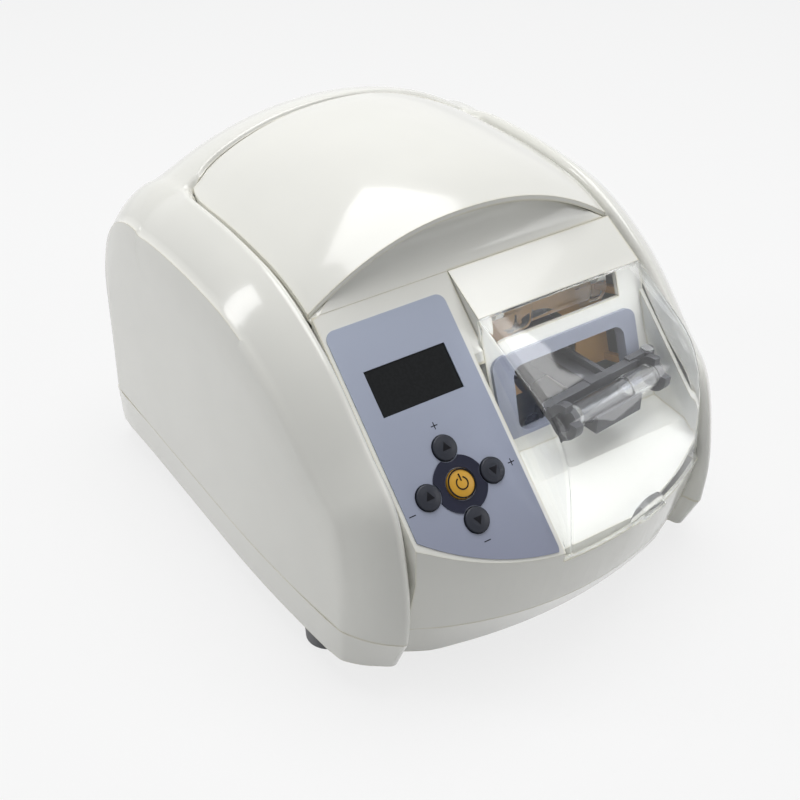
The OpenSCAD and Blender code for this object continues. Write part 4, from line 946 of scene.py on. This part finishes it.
class MIXER_OT_lid(bpy.types.Operator):
    """Clear lid: curved skin, flat ends, gooseneck lugs and finger tab"""

    bl_idname = "mixer.lid"
    bl_label = "Clear Lid"

    def execute(self, context):
        chamber = context.scene.mixer_chamber
        clear = clear_plastic("lid_clear", chamber.lid)
        steps, columns = 6, 26
        places = [mix(LID_LEFT, LID_RIGHT, c / columns) for c in range(columns + 1)]
        profiles = [lid_profile(x, steps) for x in places]
        grid = []
        for k in range(steps * (len(LID_SHAPE) - 1) + 1):
            row = [(x, *profile[k]) for x, profile in zip(places, profiles)]
            left = lid_end_row(*row[0][1:], LID_LEFT)
            right = lid_end_row(*row[-1][1:], LID_RIGHT)[::-1]
            grid.append(left + row + right)
        rows, cols = len(grid), len(grid[0])
        faces = [
            (i * cols + j, i * cols + j + 1, (i + 1) * cols + j + 1, (i + 1) * cols + j)
            for i in range(rows - 1) for j in range(cols - 1)
        ]
        lid = piece("lid_skin", [p for row in grid for p in row], faces, "lid", clear, "clear_cover")
        form = bmesh.new()
        form.from_mesh(lid.data)
        bmesh.ops.dissolve_degenerate(form, dist=1e-6, edges=form.edges)
        bmesh.ops.recalc_face_normals(form, faces=form.faces)
        if sum((f.normal.z - f.normal.y) * f.calc_area() for f in form.faces) < 0:
            bmesh.ops.reverse_faces(form, faces=form.faces)
        form.to_mesh(lid.data)
        form.free()
        bevel = lid.modifiers.new("corner", "BEVEL")
        bevel.width, bevel.segments = LID_CORNER * MM, 4
        bevel.limit_method, bevel.angle_limit = "ANGLE", radians(50)
        skin = lid.modifiers.new("wall", "SOLIDIFY")
        skin.thickness, skin.offset, skin.use_even_offset = LID_T * MM, -1, True
        skin.thickness_clamp = 1.0
        apply_modifiers(lid)
        lid.data.polygons.foreach_set("use_smooth", [True] * len(lid.data.polygons))
        lid.data.set_sharp_from_angle(angle=radians(40))

        def across(name, outline, x0, x1):
            return prism(name, outline, x0, x1, lambda u, v, w: (w, HINGE_Y + u, HINGE_Z + v),
                         "lid", clear, "clear_cover")

        a = radians(LUG_TURN)
        flat = (EYE_R - 0.2, -1.4), (NECK_IN + 0.3, -1.4), (NECK_IN + 0.3, 1.4), (EYE_R - 0.2, 1.4)
        web = [(r * cos(a) - t * sin(a), r * sin(a) + t * cos(a)) for r, t in flat]
        eye = [EYE_R * Vector((cos(radians(a)), sin(radians(a)))) for a in range(0, 360, 10)]
        n = len(eye)
        around = [(r * n + i, r * n + (i + 1) % n, (r + 1) % 4 * n + (i + 1) % n, (r + 1) % 4 * n + i)
                  for r in range(4) for i in range(n)]
        rings = (0, 1), (LUG_W, 1), (LUG_W, PIN_SHARE), (0, PIN_SHARE)
        for k, x in enumerate(LUG_X):
            soften(across(f"gooseneck_{k}", curl(NECK_START, NECK_END), x, x + LUG_W), 0.5, 2, 50)
            across(f"lug_web_{k}", web, x, x + LUG_W)
            verts = [(x + w, HINGE_Y + p.x * r, HINGE_Z + p.y * r) for w, r in rings for p in eye]
            piece(f"hinge_eye_{k}", verts, around, "lid", clear, "clear_cover")
        bar = across("hinge_bar", curl(NECK_START, BAR_END), LUG_X[0] + LUG_W + 0.05, LUG_X[1] - 0.05)
        soften(bar, 0.5, 2, 50)
        half = chamber.tab / MM
        outline = [(half * cos(radians(a)), TAB_HIGH * sin(radians(a))) for a in range(0, 181, 10)]
        base = lid_profile(TAB_X, 12)

        def tab_place(u, v, w):
            share = 1 - TAB_TAPER * w
            x, z = TAB_X + u * share, LID_BASE_Z + TAB_LOW + v * share
            y = min(base, key=lambda p: abs(p[1] - z))[0]
            return x, y + bow_y(x) - bow_y(TAB_X) + 0.3 - w, z

        tab = prism("finger_tab", outline, 0, TAB_T, tab_place, "lid", clear, "clear_cover")
        soften(tab, 0.5, 3, 50)
        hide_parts("lid")
        return {"FINISHED"}


class MIXER_OT_chamber(bpy.types.Operator):
    """Mixing chamber, its soft frame and the sheet behind the slot"""

    bl_idname = "mixer.chamber"
    bl_label = "Mixing Chamber"

    def execute(self, context):
        chamber = context.scene.mixer_chamber
        dress(casing_material(), "chamber_box")
        dress(moulded("gasket_soft", chamber.gasket, 0.5, 0.0008, 0.2, edge=1.25), "window_gasket")
        amber = moulded("sheet_amber", chamber.sheet, 0.32, 0.0015, 0.1, coat=0.3, edge=1.3)
        dress(amber, "insulator_sheet", "transformer")
        return {"FINISHED"}


class MIXER_OT_arm(bpy.types.Operator):
    """Swinging arm, jaws and capsule"""

    bl_idname = "mixer.arm"
    bl_label = "Arm and Capsule"

    def execute(self, context):
        chamber = context.scene.mixer_chamber
        # edge=2.2 makes a strong painted highlight along the arm's and jaw's edges.
        filled = moulded("arm_glass_filled", chamber.arm, 0.4, 0.0011, 0.25, coat=0.1, edge=2.2)
        dress(filled, "swing_arm", "spring_jaw")
        dress(clear_plastic("capsule_clear", (0.90, 0.91, 0.93), 0.08, 1.25), "capsule_body", "capsule_cap")
        dress(metal("steel_turned", (0.60, 0.60, 0.61), 0.28), "jaw_pin", "jaw_spring", "bearing_inner",
              "bearing_outer", "bearing_balls", "rotor_shaft", "hinge_rod", "board_posts", "case_screws")
        dress(metal("aluminium_cast", (0.56, 0.56, 0.57), 0.42, streak=(350.0, 350.0, 350.0), bump=0.2),
              "skew_hub", "motor_front_bell", "motor_rear_bell", "motor_cradle", "guide_fork")
        return {"FINISHED"}


class MIXER_OT_inside(bpy.types.Operator):
    """Motor, boards, mains parts and feet"""

    bl_idname = "mixer.inside"
    bl_label = "Motor and Mains Parts"

    def execute(self, context):
        dress(metal("steel_plated", (0.50, 0.51, 0.52), 0.33, streak=(60.0, 500.0, 60.0)), "motor_can")
        dress(metal("brass_turned", (0.66, 0.47, 0.17), 0.3), "transit_screws")
        dress(circuit_board((0.018, 0.13, 0.06)), "control_board", "power_board")
        dress(moulded("inlet_black", (0.018, 0.018, 0.019)), "power_inlet", "switch_frame", "switch_rocker",
              "fuse_holder", "fuse_cap", "cooling_fan")
        dress(moulded("rubber_mount", (0.016, 0.016, 0.017), 0.7, 0.0007, 0.3), "isolators")
        dress(moulded("rubber_foot", (0.20, 0.20, 0.21), 0.65, 0.0008, 0.3, edge=1.2), "rubber_feet")
        return {"FINISHED"}


def lamp(name, place, aim, size, power, colour=(1, 1, 1)):
    """A soft square lamp that points at aim."""
    light = bpy.data.lights.new(name, "AREA")
    light.shape, light.size, light.size_y = "RECTANGLE", *size
    light.energy, light.color = power, colour
    obj = bpy.data.objects.new(name, light)
    obj.location = place
    obj.rotation_euler = (Vector(aim) - Vector(place)).to_track_quat("-Z", "Y").to_euler()
    bpy.context.scene.collection.objects.link(obj)


class MIXER_OT_stage(bpy.types.Operator):
    """Pale floor, soft lamps, even world light and the camera"""

    bl_idname = "mixer.stage"
    bl_label = "Stage"

    def execute(self, context):
        stage = context.scene.mixer_stage
        scene = context.scene
        scene.view_settings.view_transform = "Standard"
        camera = bpy.data.objects.new("camera", bpy.data.cameras.new("camera"))
        camera.data.lens, camera.data.sensor_width = stage.lens, 36
        camera.data.clip_start = 0.01
        camera.location = stage.camera
        level = cos(stage.dip)
        ahead = Vector((sin(stage.heading) * level, cos(stage.heading) * level, -sin(stage.dip)))
        camera.rotation_euler = ahead.to_track_quat("-Z", "Y").to_euler()
        scene.collection.objects.link(camera)
        scene.camera = camera

        mesh = bpy.data.meshes.new("floor")
        far = 4.0
        mesh.from_pydata([(-far, -far, 0), (far, -far, 0), (far, far, 0), (-far, far, 0)], [], [(0, 1, 2, 3)])
        floor = bpy.data.objects.new("floor", mesh)
        scene.collection.objects.link(floor)
        s = Shader("floor_pale")
        pale = s.blend(s.noise(0.3, 2), (stage.floor,) * 3, (stage.floor + 0.03,) * 3)
        plain = s.add("ShaderNodeBsdfDiffuse", {}, {"Color": pale})
        white = s.add("ShaderNodeEmission", {}, {"Color": (1, 1, 1), "Strength": 1.0})
        shown = s.add("ShaderNodeMixShader", {}, {0: s.seen() * 0.78, 1: plain, 2: white})
        mesh.materials.append(s.finish(shown))

        w = Shader("studio", world=True)
        even = w.add("ShaderNodeBackground", {}, {"Color": (0.96, 0.98, 1), "Strength": stage.ambient})
        bright = w.add("ShaderNodeBackground", {}, {"Color": (1, 1, 1), "Strength": 1.0})
        scene.world = w.finish(w.add("ShaderNodeMixShader", {}, {0: w.seen(), 1: even, 2: bright}))

        lamp("top_softbox", (0.12, 0.10, 1.15), (0, 0.02, 0.1), (1.0, 0.8), stage.top_lamp)
        lamp("left_softbox", (-0.95, 0.65, 0.50), (0, 0.05, 0.08), (0.25, 0.9), stage.side_lamp)
        lamp("right_softbox", (0.9, -0.7, 0.7), (0, 0, 0.08), (0.5, 0.5), stage.side_lamp * 0.5)
        return {"FINISHED"}


class MIXER_PT_panel(bpy.types.Panel):
    """Lists the mixer's settings and pieces"""

    bl_label = "Capsule Mixer"
    bl_idname = "MIXER_PT_panel"
    bl_space_type = "VIEW_3D"
    bl_region_type = "UI"
    bl_category = "Mixer"

    def draw(self, context):
        for name in GROUPS:
            settings = getattr(context.scene, name)
            box = self.layout.box()
            for key in settings.bl_rna.properties.keys():
                if key not in ("rna_type", "name"):
                    box.prop(settings, key)
        for operator in OPERATORS:
            self.layout.operator(operator.bl_idname)


GROUPS = {
    "mixer_casing": CasingSettings,
    "mixer_keypad": KeypadSettings,
    "mixer_chamber": ChamberSettings,
    "mixer_stage": StageSettings,
}
OPERATORS = (
    MIXER_OT_stage, MIXER_OT_shell, MIXER_OT_dome, MIXER_OT_front, MIXER_OT_tray, MIXER_OT_keypad,
    MIXER_OT_chamber, MIXER_OT_lid, MIXER_OT_arm, MIXER_OT_inside,
)
CLASSES = (*GROUPS.values(), *OPERATORS, MIXER_PT_panel)


def register():
    for item in CLASSES:
        bpy.utils.register_class(item)
    for name, group in GROUPS.items():
        setattr(bpy.types.Scene, name, PointerProperty(type=group))


def unregister():
    for name in GROUPS:
        delattr(bpy.types.Scene, name)
    for item in reversed(CLASSES):
        bpy.utils.unregister_class(item)


def main():
    register()
    for operator in OPERATORS:
        group, name = operator.bl_idname.split(".")
        if getattr(getattr(bpy.ops, group), name)() != {"FINISHED"}:
            raise RuntimeError(operator.bl_label + " wasn't finished")


if __name__ == "__main__":
    main()
